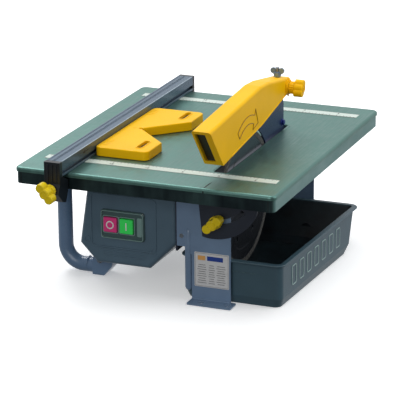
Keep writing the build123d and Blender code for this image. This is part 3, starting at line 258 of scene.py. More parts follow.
AXIS_Y, AXIS_Z = middle_of("motor_shaft")[1:]    # of the blade and the motor
looks = {
    "galvanised_steel": galvanised("galvanised_sheet", rgb(98, 136, 128)).material,
    "ruler_enamel": surface("ruler_strip", rgb(205, 218, 208), rough=0.35, mottle=0.05, grain=300.0,
                            bump=0.03, stretch=(0.2, 3, 1), grime=0.25),
    "dark_plate": surface("dark_powder_coat", rgb(34, 42, 56), rough=0.4, mottle=0.2, bump=0.25,
                          wear=0.5, wear_colour=rgb(110, 118, 128)),
    "frame_paint": surface("frame_powder_coat", rgb(112, 136, 164), rough=0.36, mottle=0.1,
                           grain=1100.0, bump=0.22, wear=0.7, wear_colour=rgb(130, 145, 160),
                           coat=0.15, grime=0.2),
    "bright_steel": surface("zinc_plate", rgb(150, 158, 166), rough=0.3, metal=0.9, mottle=0.12,
                            grain=700.0, bump=0.05, wear=0.4, grime=0.3),
    "shaft_steel": surface("ground_shaft", rgb(150, 152, 156), rough=0.25, metal=0.95,
                           stretch=(30, 1, 1), bump=0.04),
    "blade_steel": turned("blade_disc", rgb(96, 102, 112), (0, AXIS_Y, AXIS_Z), 0),
    "knife_steel": surface("blued_knife", rgb(46, 60, 96), rough=0.34, metal=0.35, mottle=0.15,
                           stretch=(1, 1, 6), wear=0.7, wear_colour=rgb(130, 140, 160)),
    "diamond_segment": surface("diamond_grit", rgb(92, 92, 90), rough=0.75, metal=0.2, mottle=0.5,
                               mottle_scale=900.0, grain=2200.0, bump=0.6),
    "cast_alloy": surface("cast_alloy", rgb(140, 146, 150), rough=0.55, metal=0.7, mottle=0.12,
                          grain=500.0, bump=0.35, grime=0.3),
    "electrical_steel": surface("lamination", rgb(80, 82, 88), rough=0.5, metal=0.7,
                                stretch=(40, 1, 1), bump=0.3),
    "copper_winding": surface("winding_wire", rgb(176, 98, 48), rough=0.35, metal=0.8,
                              stretch=(14, 1, 1), grain=500.0, bump=0.6),
    "housing_plastic": surface("housing_moulding", rgb(82, 106, 122), rough=0.42, mottle=0.1,
                               grain=1500.0, bump=0.3, wear=0.35, wear_colour=rgb(112, 132, 150),
                               grime=0.25),
    "bezel_plastic": surface("splash_cover", rgb(64, 88, 88), rough=0.16, mottle=0.12, grain=300.0,
                             bump=0.03, coat=0.8, rough_spread=0.04),
    "black_plastic": surface("black_moulding", rgb(20, 26, 32), rough=0.38, mottle=0.2,
                             grain=1300.0, bump=0.25, wear=0.4, wear_colour=rgb(70, 80, 90)),
    "stop_plastic": surface("stop_cap", rgb(232, 62, 136), rough=0.22, mottle=0.06, grain=300.0,
                            bump=0.02, coat=0.6, rough_spread=0.04),
    "start_plastic": surface("start_cap", rgb(60, 246, 104), rough=0.22, mottle=0.06, grain=300.0,
                             bump=0.02, coat=0.6, rough_spread=0.04),
    "yellow_plastic": surface("yellow_moulding", rgb(250, 192, 4), rough=0.4, gloss=0.12,
                              mottle=0.05, mottle_scale=14.0, grain=1300.0, bump=0.14, wear=0.35,
                              wear_colour=rgb(250, 206, 40), grime=0.12),
    "leg_paint": surface("leg_powder_coat", rgb(104, 130, 160), rough=0.3, mottle=0.1, grain=1000.0,
                         bump=0.2, coat=0.2, wear=0.3, wear_colour=rgb(140, 160, 184)),
    "fence_aluminium": surface("anodised_rail", rgb(84, 104, 122), rough=0.32, metal=0.55,
                               mottle=0.08, grain=700.0, bump=0.06, stretch=(12, 0.25, 12),
                               wear=0.6, wear_colour=rgb(190, 205, 215)),
    "tank_plastic": tank_moulding_shaded_inside("tank_moulding_shaded_inside", rgb(62, 88, 100)),
    "soft_rubber": surface("soft_rubber", rgb(24, 24, 26), rough=0.65, mottle=0.2, grain=900.0,
                           bump=0.4),
    "label_silver": surface("label_foil", rgb(214, 214, 214), rough=0.4, mottle=0.04, grain=600.0,
                            bump=0.03, stretch=(0.4, 1, 12)),
}
dark_print = surface("dark_print", rgb(30, 34, 40), rough=0.5, mottle=0.15, bump=0.02)
grey_print = surface("grey_print", rgb(128, 128, 130), rough=0.45, mottle=0.1, bump=0.02)
blue_print = surface("blue_print", rgb(34, 66, 150), rough=0.4, mottle=0.1, bump=0.02)
amber_print = surface("amber_print", rgb(226, 168, 96), rough=0.4, mottle=0.1, bump=0.02)
white_print = surface("white_print", rgb(236, 236, 232), rough=0.35, mottle=0.04, bump=0.02)
brown_edge = surface("brown_edge", rgb(150, 104, 10), rough=0.45, mottle=0.1, bump=0.1)
# A near-black for seams and marks; in screw sockets and cross recesses it is painted shade.
dark_gap_and_recess_shade = surface("dark_gap_and_recess_shade", rgb(9, 11, 14), rough=0.7, mottle=0.3, bump=0.1)

# Painted light: a lighter, greener copy of the yellow moulding for three hand knobs, to lift them
# out of the shade they sit in.
knob_yellow_lit = surface("knob_moulding_lit", rgb(232, 204, 28), rough=0.34, gloss=0.25, mottle=0.07,
                mottle_scale=40.0, grain=1100.0, bump=0.12, wear=0.4,
                wear_colour=rgb(250, 232, 120), grime=0.1)
SPECIAL_LOOKS = {
    # Painted shade: the motor frame has a much darker copy of the frame paint, for the shade it
    # stands in between the housing and the bracket.
    "motor_frame": surface("frame_paint_shaded", rgb(34, 41, 58), rough=0.4, mottle=0.12,
                           grain=1100.0, bump=0.22, wear=0.6, wear_colour=rgb(110, 124, 145),
                           grime=0.35),
    "leg_clamps": looks["leg_paint"],
    # The skirt's own, slightly lighter copy of the sheet, with its front face painted dark as
    # shade.
    "table_skirt": front_shaded_skirt("galvanised_skirt_front_shade", rgb(108, 144, 140)),
    "fence_knob": knob_yellow_lit,
    "front_tilt_knob": knob_yellow_lit,
    "rear_tilt_knob": knob_yellow_lit,
    "wing_nut": surface("wing_zinc", rgb(126, 148, 172), rough=0.36, metal=0.55, mottle=0.1,
                        grain=900.0, bump=0.12, wear=0.6, wear_colour=rgb(190, 205, 220)),
}

for entry in frame["record"]["subparts"]:
    mesh = nodes[entry["node"]].data
    mesh.materials.clear()
    mesh.materials.append(SPECIAL_LOOKS.get(entry["node"], looks[entry["material_slot"]]))


# ------------------------------------------------------------------ mesh helpers
def front(u, v, w):
    """Seen by the operator: u to the right, v up, w towards them from the CAD origin."""
    return Vector((u, -w, v))


def rear(u, v, w):
    """Like front, with u and v the same and w away from the operator."""
    return Vector((u, w, v))


def above(u, v, w):
    """Seen from above: u to the right, v away from the operator, w up."""
    return Vector((u, v, w))


def right(u, v, w):
    """Seen from the right: u away from the operator, v up, w to the right."""
    return Vector((w, u, v))


def add_piece(name, data, body, slot, material):
    """Puts a mesh or a curve in the scene as a piece that rides on a body."""
    data.materials.append(material or looks[slot])
    made = bpy.data.objects.new(name, data)
    bpy.context.scene.collection.objects.link(made)
    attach(made, body)
    return made


def finish_piece(name, mesh_data, body, slot, material=None, edge=0.0, smooth=False):
    """Turns a bmesh into a piece with softened edges, in its slot's look if no other is given."""
    bmesh.ops.recalc_face_normals(mesh_data, faces=mesh_data.faces[:])
    mesh = bpy.data.meshes.new(name)
    mesh_data.to_mesh(mesh)
    mesh_data.free()
    for polygon in mesh.polygons:
        polygon.use_smooth = smooth
    made = add_piece(name, mesh, body, slot, material)
    if edge:
        soften = made.modifiers.new("soft_edges", "BEVEL")
        soften.width, soften.segments, soften.limit_method = edge, 2, "ANGLE"


def bead(name, points, radius, body, slot, material=None, closed=False):
    """Round bead along a line of points."""
    curve = bpy.data.curves.new(name, "CURVE")
    curve.dimensions, curve.bevel_depth, curve.bevel_resolution = "3D", radius, 3
    curve.use_fill_caps = not closed
    line = curve.splines.new("POLY")
    line.points.add(len(points) - 1)
    for point, place in zip(line.points, points):
        point.co = (*place, 1.0)
    line.use_cyclic_u = closed
    add_piece(name, curve, body, slot, material)


def join_loops(target, first, last):
    """A band of faces between two loops of as many vertices each."""
    count = len(first)
    for i in range(count):
        target.faces.new((first[i], first[(i + 1) % count], last[(i + 1) % count], last[i]))


def cap_loops(target, first, last):
    """A closed solid between two loops."""
    target.faces.new(first[::-1])
    target.faces.new(last)
    join_loops(target, first, last)


def prism(target, outline, low, high, place):
    """Closed prism over a flat outline, between two depths."""
    cap_loops(target, *([target.verts.new(place(u, v, w)) for u, v in outline]
                        for w in (low, high)))


def frame_prism(target, outer, inner, low, high, place):
    """Prism with a hole, from two outlines with as many points each."""
    loops = [[target.verts.new(place(u, v, w)) for u, v in outline]
             for outline, w in ((outer, low), (outer, high), (inner, high), (inner, low))]
    for first, last in zip(loops, loops[1:] + loops[:1]):
        join_loops(target, first, last)


def polar(cu, cv, radius, angle):
    return cu + radius * math.cos(angle), cv + radius * math.sin(angle)


def rectangle(cu, cv, width, height):
    return [(cu + i * width / 2, cv + j * height / 2)
            for i, j in ((-1, -1), (1, -1), (1, 1), (-1, 1))]


def rounded(cu, cv, width, height, radius, steps=5):
    """Rectangle with round corners."""
    points = []
    for i, (su, sv) in enumerate(((1, 1), (-1, 1), (-1, -1), (1, -1))):
        corner = (cu + su * (width / 2 - radius), cv + sv * (height / 2 - radius))
        points += [polar(*corner, radius, math.pi / 2 * (i + k / steps))
                   for k in range(steps + 1)]
    return points


def rounded_frame(target, cu, cv, size, wall, radii, low, high, place):
    """A raised border with round corners, inside a size and as wide as its wall."""
    frame_prism(target, rounded(cu, cv, *size, radii[0]),
                rounded(cu, cv, size[0] - 2 * wall, size[1] - 2 * wall, radii[1]), low, high,
                place)


def circle(cu, cv, radius, count=28):
    return [polar(cu, cv, radius, math.tau * k / count) for k in range(count)]


def ring(target, cu, cv, outer, inner, low, high, place):
    """A flat ring, from its outer and inner radius."""
    frame_prism(target, circle(cu, cv, outer), circle(cu, cv, inner), low, high, place)


def thread(name, node, axis, drop, pitch, turns, per_turn, size, body):
    """A fine bead that winds back from the end of an upright or a rearward screw."""
    low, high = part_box(node)
    middle = middle_of(node)
    place = {1: rear, 2: above}[axis]
    radius = (high[0] - low[0]) / 2
    bead(name, [place(*polar(middle[0], middle[3 - axis], radius, math.tau * k / per_turn),
                      high[axis] - drop - pitch * k / per_turn)
                for k in range(turns * per_turn)], size, body, "bright_steel")


def add_text(target, text, size, origin, across, upward, lift):
    """Adds flat generic figures to a bmesh, centred on origin."""
    curve = bpy.data.curves.new("figures", "FONT")
    curve.body, curve.size, curve.extrude = text, size, lift
    curve.align_x, curve.align_y = "CENTER", "CENTER"
    curve.resolution_u = 2
    holder = bpy.data.objects.new("figures", curve)
    shape = bpy.data.meshes.new_from_object(holder)
    across, upward = Vector(across), Vector(upward)
    turn = Matrix((across, upward, across.cross(upward))).transposed().to_4x4()
    shape.transform(Matrix.Translation(origin) @ turn)
    target.from_mesh(shape)
    bpy.data.objects.remove(holder)
    bpy.data.curves.remove(curve)
    bpy.data.meshes.remove(shape)


# ------------------------------------------------------------------ table
PRINT = 0.06 * MM          # how far a printed mark stands out
RULER_HALF = 8 * MM        # half the width of a ruler strip
RULER_MARGIN = 2 * MM      # no tick comes nearer to a strip's end
TICK_STEP = 5              # from tick to tick, in millimetres
LONG_STEP = 10             # every tenth tick is long and has a figure
FIGURE_SIZE = 6.5 * MM
MARK_LENGTH = 30 * MM      # the blade-line mark, back from the front edge


def ruler_scale(name, y, sign):
    """Ticks and figures that count from the blade on one ruler strip."""
    low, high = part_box("rulers")
    middle_x, top = middle_of("rulers")[0], high[2]
    marks, figures, edges = bmesh.new(), bmesh.new(), bmesh.new()
    first = math.ceil((low[0] + RULER_MARGIN) / (TICK_STEP * MM))
    last = math.floor((high[0] - RULER_MARGIN) / (TICK_STEP * MM))
    for step in range(first, last + 1):
        x = step * TICK_STEP * MM
        length = (6 if step % LONG_STEP == 0 else 4.4 if step % 2 == 0 else 2.6) * MM
        prism(marks, rectangle(x, y + sign * (RULER_HALF - length / 2), 0.5 * MM, length), top,
              top + PRINT, above)
        if step % LONG_STEP == 0:
            add_text(figures, str(abs(step * TICK_STEP) // 10), FIGURE_SIZE,
                     Vector((x, y - sign * 3.2 * MM, top + PRINT)), (1, 0, 0), (0, 1, 0), PRINT)
    for side in (-1, 1):
        prism(edges, rectangle(middle_x, y + side * (RULER_HALF - 0.4 * MM), high[0] - low[0],
                               0.5 * MM), top, top + PRINT, above)
    finish_piece(name + "_ticks", marks, "table", "ruler_enamel", dark_print)
    finish_piece(name + "_figures", figures, "table", "ruler_enamel", dark_print)
    finish_piece(name + "_borders", edges, "table", "ruler_enamel", grey_print)


rulers_low, rulers_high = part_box("rulers")
ruler_scale("front_scale", rulers_low[1] + RULER_HALF, 1)
ruler_scale("rear_scale", rulers_high[1] - RULER_HALF, -1)


def table_details():
    """Folded corner seams, the slot's pressed lip and the blade-line mark."""
    skirt_low, skirt_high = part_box("table_skirt")
    overlap = 0.5 * MM
    seams = bmesh.new()
    for sx, x in ((-1, skirt_low[0]), (1, skirt_high[0])):
        for sy, y in ((-1, skirt_low[1]), (1, skirt_high[1])):
            prism(seams, rectangle(x - sx * 8 * MM, y + sy * 0.02 * MM, 0.7 * MM, 0.3 * MM),
                  skirt_low[2] + overlap, table_low[2] + overlap, above)
    finish_piece("corner_seams", seams, "table", "galvanised_steel", dark_gap_and_recess_shade)

    slot_x, slot_y, slot_size = -5 * MM, -23 * MM, (25 * MM, 242 * MM)
    lip = bmesh.new()
    rounded_frame(lip, slot_x, slot_y, slot_size, 1.75 * MM, (7 * MM, 5.5 * MM), table_high[2],
                  table_high[2] + 0.35 * MM, above)
    finish_piece("slot_lip", lip, "table", "galvanised_steel", edge=0.15 * MM)

    mark = bmesh.new()
    half, sunk = 0.9 * MM, 0.3 * MM
    start, stop = table_low[1] + 3.4 * MM, table_low[1] + MARK_LENGTH
    prism(mark, [(-half, start), (half, start), (half, stop), (-half, stop - 9 * MM)],
          table_high[2] - sunk, table_high[2] + PRINT, above)
    prism(mark, rectangle(0, table_low[2] + 1.4 * MM, 2 * half, 2.6 * MM), -table_low[1] - sunk,
          -table_low[1] + PRINT, front)
    finish_piece("blade_line_mark", mark, "table", "galvanised_steel", dark_gap_and_recess_shade)


table_details()


# ------------------------------------------------------------------ fence and angle guide
def fence_details():
    """Ribs on the rail's top, a corner bead painted light as a highlight, a pointer and the clamp's
    mouldings.
    """
    low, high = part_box("fence_rail")
    middle_x, middle_y = middle_of("fence_rail")[:2]
    ribs = bmesh.new()
    for part_way, width in ((0.06, 1.6), (0.36, 0.8), (0.46, 0.8)):
        x = low[0] + part_way * (high[0] - low[0]) + 0.5 * MM
        prism(ribs, rectangle(x, middle_y, width * MM, high[1] - low[1]), high[2],
              high[2] + 0.5 * MM, above)
    finish_piece("rail_ribs", ribs, "fence", "fence_aluminium", edge=0.15 * MM)
    # Painted highlight: the bead on the rail's top corner is far lighter than the rail.
    highlight_coat = surface("rail_highlight_bead", rgb(176, 192, 202), rough=0.25, metal=0.5, mottle=0.05,
                     stretch=(1, 0.2, 1))
    bead("rail_corner_highlight", [(high[0] - 0.9 * MM, y, high[2] - 0.5 * MM)
                              for y in (low[1] + MM, high[1] - MM)], 0.8 * MM, "fence",
         "fence_aluminium", highlight_coat)

    pointer = bmesh.new()
    tip_y, tip_z, size = low[1] + 62 * MM, high[2] - 6 * MM, 3 * MM
    arrowhead = [(tip_y, tip_z), (tip_y + 3 * size, tip_z - size), (tip_y + 2 * size, tip_z),
                 (tip_y + 3 * size, tip_z + size)]
    for outline in (arrowhead, rectangle(tip_y + 4 * size, tip_z, 4 * size, 0.4 * size)):
        prism(pointer, outline, high[0], high[0] + 0.12 * MM, right)
    finish_piece("rail_pointer", pointer, "fence", "fence_aluminium", dark_print)

    clamp_low, clamp_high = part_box("fence_clamp")
    face = -(clamp_low[1] + 6 * MM)
    ribs = bmesh.new()
    for k in range(3):
        prism(ribs, rectangle(clamp_low[0] + (5 + 6 * k) * MM, clamp_high[2] - 15 * MM, 2 * MM,
                              24 * MM), face, face + 1.2 * MM, front)
    finish_piece("clamp_ribs", ribs, "fence", "black_plastic", edge=0.4 * MM)
    hook_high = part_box("fence_hook")[1]
    border = bmesh.new()
    rounded_frame(border, middle_x, hook_high[2] - 15 * MM, (18 * MM, 26 * MM), 2 * MM,
                  (3 * MM, 2 * MM), hook_high[1], hook_high[1] + 0.8 * MM, rear)
    finish_piece("hook_border", border, "fence", "black_plastic", edge=0.2 * MM)
    thread("screw_thread", "fence_screw", 1, 0.4 * MM, 0.4 * MM, 2, 16, 0.22 * MM, "fence_lock")


fence_details()


def guide_details():
    """Angle lines with their centre dot, and a rim and a shaded floor for each slot."""
    low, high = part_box("angle_guide")
    middle_y, top = middle_of("angle_guide")[1], high[2]
    marks = bmesh.new()
    for sign in (-1, 1):
        for k in range(1, 5):
            prism(marks, rectangle(low[0] + 9 * MM, middle_y + sign * (58 + 7 * k) * MM, 9 * MM,
                                   0.9 * MM), top, top + 0.3 * MM, above)
    prism(marks, circle(high[0] - 61 * MM, middle_y, 2.6 * MM), top, top + 0.4 * MM, above)
    finish_piece("guide_marks", marks, "guide", "yellow_plastic", edge=0.1 * MM)

    rims, floors = bmesh.new(), bmesh.new()
    slot_x = high[0] - 19 * MM
    for y in (middle_y - 69 * MM, middle_y + 76 * MM):
        prism(floors, rounded(slot_x, y, 7.4 * MM, 32.4 * MM, 3.6 * MM), top - 3.4 * MM,
              top - 3 * MM, above)
        rounded_frame(rims, slot_x, y, (11 * MM, 36 * MM), 1.7 * MM, (5.4 * MM, 3.7 * MM), top,
                      top + 0.6 * MM, above)
    finish_piece("guide_slot_rims", rims, "guide", "yellow_plastic", edge=0.2 * MM)
    olive = surface("slot_shade", rgb(74, 58, 12), rough=0.7, mottle=0.25, bump=0.2)
    finish_piece("guide_slot_floors", floors, "guide", "yellow_plastic", olive, edge=0.1 * MM)


guide_details()


# ------------------------------------------------------------------ guard
GUARD_HALF = 13 * MM                                 # half the width of its side walls
GUARD_PIVOT = (66 * MM, table_high[2] + 62 * MM)     # Y and Z, as for the arrow's centre
ARROW_CENTRE = (-84 * MM, table_high[2])
GUARD_LIP = [(-143, 24), (-114, 27.6), (-34, 36), (46, 51), (70, 55)]  # Y, Z above the table
FLAP_TOP, FLAP_BOTTOM = (-207.5, 72.5), (-166, 22.5)


def arrow_outline(cu, cv, radius, width, start, sweep, steps=16):
    """Closed outline of a curved arrow: an arc band that ends in a wide head."""
    end, head = start + sweep, 1.25 * width
    tip = end + math.copysign(1.5 * width / radius, sweep)
    angles = [start + sweep * k / steps for k in range(steps + 1)]
    return ([polar(cu, cv, radius + width / 2, angle) for angle in angles]
            + [polar(cu, cv, radius + head, end), polar(cu, cv, radius, tip),
               polar(cu, cv, radius - head, end)]
            + [polar(cu, cv, radius - width / 2, angle) for angle in reversed(angles)])


def guard_details():
    """Raised rotation arrows and bottom lips on both sides, the boss ring and a dark sheet across
    the nose, painted as the shade inside the guard's mouth.
    """
    arrow = arrow_outline(*ARROW_CENTRE, 56 * MM, 11 * MM, math.radians(128), math.radians(-60))
    sides = ((-1, "left"), (1, "right"))
    for side, label in sides:
        bead(f"rotation_arrow_{label}", [(side * (GUARD_HALF + 0.25 * MM), y, z)
                                         for y, z in arrow], 0.55 * MM, "guard",
             "yellow_plastic", brown_edge, closed=True)
    for side, label in sides:
        bead(f"guard_lip_{label}", [(side * (GUARD_HALF - 0.2 * MM), y * MM,
                                     table_high[2] + (z + 0.6) * MM) for y, z in GUARD_LIP],
             1.0 * MM, "guard", "yellow_plastic")

    boss = bmesh.new()
    ring(boss, *GUARD_PIVOT, 11 * MM, 9.1 * MM, GUARD_HALF, GUARD_HALF + 1.2 * MM, right)
    half = 0.8 * MM
    for k in range(6):
        angle = math.tau * (k + 0.5) / 6
        spoke = [polar(*polar(*GUARD_PIVOT, reach, angle), side * half, angle - math.pi / 2)
                 for reach, side in ((9 * MM, -1), (13 * MM, -1), (13 * MM, 1), (9 * MM, 1))]
        prism(boss, spoke, GUARD_HALF - 0.3 * MM, GUARD_HALF + 1.0 * MM, right)
    finish_piece("guard_boss_ring", boss, "guard", "yellow_plastic", edge=0.2 * MM)

    flap = bmesh.new()
    half, thick = 10.3, 1.5
    loops = [[flap.verts.new((x * MM, (y + back) * MM, table_high[2] + z * MM))
              for x, (y, z) in ((-half, FLAP_TOP), (half, FLAP_TOP), (half, FLAP_BOTTOM),
                                (-half, FLAP_BOTTOM))] for back in (0, thick)]
    cap_loops(flap, *loops)
    # Painted shade: a dark olive sheet stands in for the shaded inside of the guard's mouth.
    nose_shade_coat = surface("nose_shade_sheet", rgb(46, 40, 14), rough=0.6, mottle=0.25, bump=0.3)
    finish_piece("nose_flap", flap, "guard", "soft_rubber", nose_shade_coat)
    thread("stud_thread", "guard_stud", 2, 0.3 * MM, 0.8 * MM, 3, 12, 0.2 * MM, "guard")


guard_details()


# ------------------------------------------------------------------ hand knobs
KNOB_DEPTH = 19 * MM       # from a knob's outer face back to the foot of its hub


def knob_caps(node, body, axis, sign):
    """A ring round a small disc on a hand knob's outer face, with grip ridges on its hub."""
    low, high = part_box(node)
    middle = middle_of(node)
    coat = SPECIAL_LOOKS.get(node, looks["yellow_plastic"])
    place = {0: right, 1: rear if sign > 0 else front}[axis]
    face = sign * (high if sign > 0 else low)[axis]
    cu, cv = middle[1 - axis], middle[2]
    cap = bmesh.new()
    ring(cap, cu, cv, 5.4 * MM, 4.3 * MM, face - 0.2 * MM, face + 0.6 * MM, place)
    prism(cap, circle(cu, cv, 1.7 * MM), face - 0.2 * MM, face + 0.5 * MM, place)
    finish_piece(node + "_ring", cap, body, "yellow_plastic", coat, edge=0.2 * MM)
    foot = face - KNOB_DEPTH
    ridges = bmesh.new()
    for u, v in circle(cu, cv, 7.9 * MM, 16):
        prism(ridges, circle(u, v, 0.7 * MM, 8), foot + 0.6 * MM, foot + 6.4 * MM, place)
    finish_piece(node + "_grip", ridges, body, "yellow_plastic", coat)


for knob, body, axis, sign in (("fence_knob", "fence_lock", 1, -1),
                               ("front_tilt_knob", "front_lock", 1, -1),
                               ("rear_tilt_knob", "rear_lock", 1, 1),
                               ("guard_knob", "guard_lock", 0, 1)):
    knob_caps(knob, body, axis, sign)


# ------------------------------------------------------------------ blade
def blade_details():
    """Slanted ridges pressed into both faces of the diamond rim, and the turning arrows."""
    rim_low, rim_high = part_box("diamond_rim")
    count, inner, outer, slant, wide = 72, 84 * MM, 89.6 * MM, 0.05, 0.03
    ridges = bmesh.new()
    for side, face in ((-1, rim_low[0]), (1, rim_high[0])):
        for k in range(count):
            angle = math.tau * k / count
            ridge = [polar(AXIS_Y, AXIS_Z, reach, angle + turn)
                     for reach, turn in ((inner, 0), (inner, wide), (outer, wide + side * slant),
                                         (outer, side * slant))]
            prism(ridges, ridge, face, face + side * 0.25 * MM, right)
    finish_piece("rim_ridges", ridges, "blade_drive", "diamond_segment")
    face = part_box("blade_core")[1][0]
    arrows = bmesh.new()
    for k in range(3):
        prism(arrows, arrow_outline(AXIS_Y, AXIS_Z, 68 * MM, 2.4 * MM, math.tau * k / 3, 0.7),
              face, face + PRINT, right)
    finish_piece("blade_arrows", arrows, "blade_drive", "blade_steel", dark_print)


blade_details()


# ------------------------------------------------------------------ motor housing
FRONT_FACE = -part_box("housing_front_shell")[0][1]
# X and Z of the outline's corners, seen from the front, and the point it grows from
HOUSING_CORNERS = [(-182, 164), (-198, 57), (-174, 32), (-98, 32), (-59, 71), (-59, 164)]
HOUSING_MIDDLE = Vector((-125, 98))
SIDE_FOOT = (-198 * MM, 57 * MM)    # X and Z where the leaning left side starts
SIDE_LEAN = 16 / 107                # how far it comes inwards for its height
FIELD = (-134 * MM, 92 * MM)        # X and Z of the middle of the field round the switch


def housing_outline(grow):
    """The housing's outline seen from the front, grown outwards."""
    corners = [Vector(corner) for corner in HOUSING_CORNERS]
    return [(corner + (corner - HOUSING_MIDDLE).normalized() * grow) * MM for corner in corners]


def housing_details():
    """Parting seam, a raised field round the switch, ribs, louvres, bosses and screw crosses."""
    seam = bmesh.new()
    frame_prism(seam, housing_outline(0.5), housing_outline(-0.6), 64.3 * MM, 65.7 * MM, front)
    finish_piece("housing_seam", seam, "base", "housing_plastic", dark_gap_and_recess_shade)

    field = bmesh.new()
    rounded_frame(field, *FIELD, (94 * MM, 74 * MM), 2 * MM, (7 * MM, 5 * MM),
                  FRONT_FACE - 0.5 * MM, FRONT_FACE + 1.0 * MM, front)
    for k in range(3):
        prism(field, rounded(FIELD[0], (45 + 4.4 * k) * MM, (58 + 6 * k) * MM, 1.6 * MM,
                             0.7 * MM, 3), FRONT_FACE - 0.5 * MM, FRONT_FACE + 0.8 * MM, front)
    finish_piece("housing_field", field, "base", "housing_plastic", edge=0.35 * MM)

    louvres = bmesh.new()
    foot, top = (Vector((SIDE_FOOT[0] + (z - SIDE_FOOT[1]) * SIDE_LEAN + 0.4 * MM, 0, z))
                 for z in (84 * MM, 134 * MM))
    for k in range(8):
        y = (-108 + 12 * k) * MM
        near, far = Vector((0, y, 0)), Vector((0, y + 6 * MM, 0))
        corners = [foot + near, foot + far, top + far, top + near]
        # the near edge stays on the wall and the far edge stands out from it
        lifts = [(-0.4, 0.5, 2), (-2.6, -0.8, 2), (-2.6, -0.8, -2), (-0.4, 0.5, -2)]
        cap_loops(louvres, [louvres.verts.new(corner) for corner in corners],
                  [louvres.verts.new(corner + Vector(lift) * MM)
                   for corner, lift in zip(corners, lifts)])
    finish_piece("housing_louvres", louvres, "base", "housing_plastic", edge=0.2 * MM)

    bosses = bmesh.new()
    for x, z in ((-172, 150), (-96, 150), (-186, 64), (-92, 56)):
        ring(bosses, x * MM, z * MM, 4.6 * MM, 3.4 * MM, FRONT_FACE - 0.4 * MM,
             FRONT_FACE + 0.6 * MM, front)
    finish_piece("housing_bosses", bosses, "base", "housing_plastic", edge=0.2 * MM)

    # Painted shade: each screw's cross recess is drawn as a flat dark cross.
    screw_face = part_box("housing_screws")[1][1]
    crosses = bmesh.new()
    long, short = 3.6 * MM, 0.9 * MM
    for x, z in ((-176, 152), (-68, 152), (-182, 66), (-76, 76)):
        for width, height in ((short, long), (long, short)):
            prism(crosses, rectangle(x * MM, z * MM, width, height), screw_face,
                  screw_face + 0.05 * MM, rear)
    finish_piece("screw_crosses", crosses, "base", "bright_steel", dark_gap_and_recess_shade)


housing_details()


def switch_details():
    """Rings, marks and the clear splash cover round the two push buttons."""
    face, z = -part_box("switch_bezel")[0][1], middle_of("switch_bezel")[2]
    sunk = face - 0.3 * MM
    stop_x, start_x = middle_of("stop_button")[0], middle_of("start_button")[0]
    cap, lift = -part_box("stop_button")[0][1], 0.12 * MM
    mark = bmesh.new()
    ring(mark, stop_x, z, 5.6 * MM, 3.9 * MM, cap, cap + lift, front)
    finish_piece("stop_mark", mark, "stop", "stop_plastic", white_print)
    mark = bmesh.new()
    prism(mark, rounded(start_x, z, 1.8 * MM, 10.5 * MM, 0.5 * MM, 3), cap, cap + lift, front)
    finish_piece("start_mark", mark, "start", "start_plastic", white_print)

    clear = surface("clear_cover", rgb(120, 150, 146), rough=0.12, mottle=0.1, grain=260.0,
                    bump=0.03, coat=1.0, rough_spread=0.04)
    cover = bmesh.new()
    rounded_frame(cover, FIELD[0], z, (60 * MM, 38 * MM), 1.2 * MM, (3.6 * MM, 2.6 * MM), sunk,
                  face + 2.2 * MM, front)
    for x in (stop_x, start_x):
        rounded_frame(cover, x, z, (23 * MM, 24.4 * MM), 1.2 * MM, (2.6 * MM, 1.8 * MM), sunk,
                      face + 1.2 * MM, front)
    prism(cover, rounded(-109.5 * MM, z, 7 * MM, 26 * MM, 2 * MM), sunk, face + 1.0 * MM, front)
    finish_piece("splash_rims", cover, "base", "bezel_plastic", clear, edge=0.35 * MM)


switch_details()


# ------------------------------------------------------------------ brackets and label
BRACKET_ROOT = 160 * MM    # the depth a roll rises from, just inside the bracket's face
ROLL_MIDDLE = -41.2 * MM
ROLL_REACH = 4.8 * MM
ROLL_HEIGHT = 3.4 * MM
FOOT_HOLE = (18 * MM, 174 * MM)    # X and Y, on each side of the middle


def bracket_details():
    """The rolled edge beside each end bracket, rings round the bolt holes and the foot's bend."""
    steps = 8
    arc = [math.pi * k / steps for k in range(steps + 1)]
    for end, sign in (("front", -1), ("rear", 1)):
        roll = bmesh.new()
        loops = [[roll.verts.new((ROLL_MIDDLE + ROLL_REACH * keep * math.cos(angle),
                                  sign * (BRACKET_ROOT + ROLL_HEIGHT * keep * math.sin(angle)),
                                  z * MM)) for angle in arc]
                 for z, keep in ((12.5, 0.35), (13.5, 0.7), (16, 1.0), (93, 1.0), (97, 0.6))]
        for first, last in zip(loops, loops[1:]):
            join_loops(roll, first, last)
        roll.faces.new(loops[0][::-1])
        roll.faces.new(loops[-1])
        finish_piece(f"{end}_bracket_roll", roll, "base", "frame_paint", smooth=True)
        rings = bmesh.new()
        for side in (-1, 1):
            ring(rings, side * FOOT_HOLE[0], sign * FOOT_HOLE[1], 6.6 * MM, 3.6 * MM, 2 * MM,
                 2.5 * MM, above)
        finish_piece(f"{end}_foot_rings", rings, "base", "frame_paint", edge=0.15 * MM)
        bead(f"{end}_foot_bend", [(x * MM, sign * 162.3 * MM, 2.3 * MM) for x in (-35, 17)],
             1.3 * MM, "base", "frame_paint")


bracket_details()


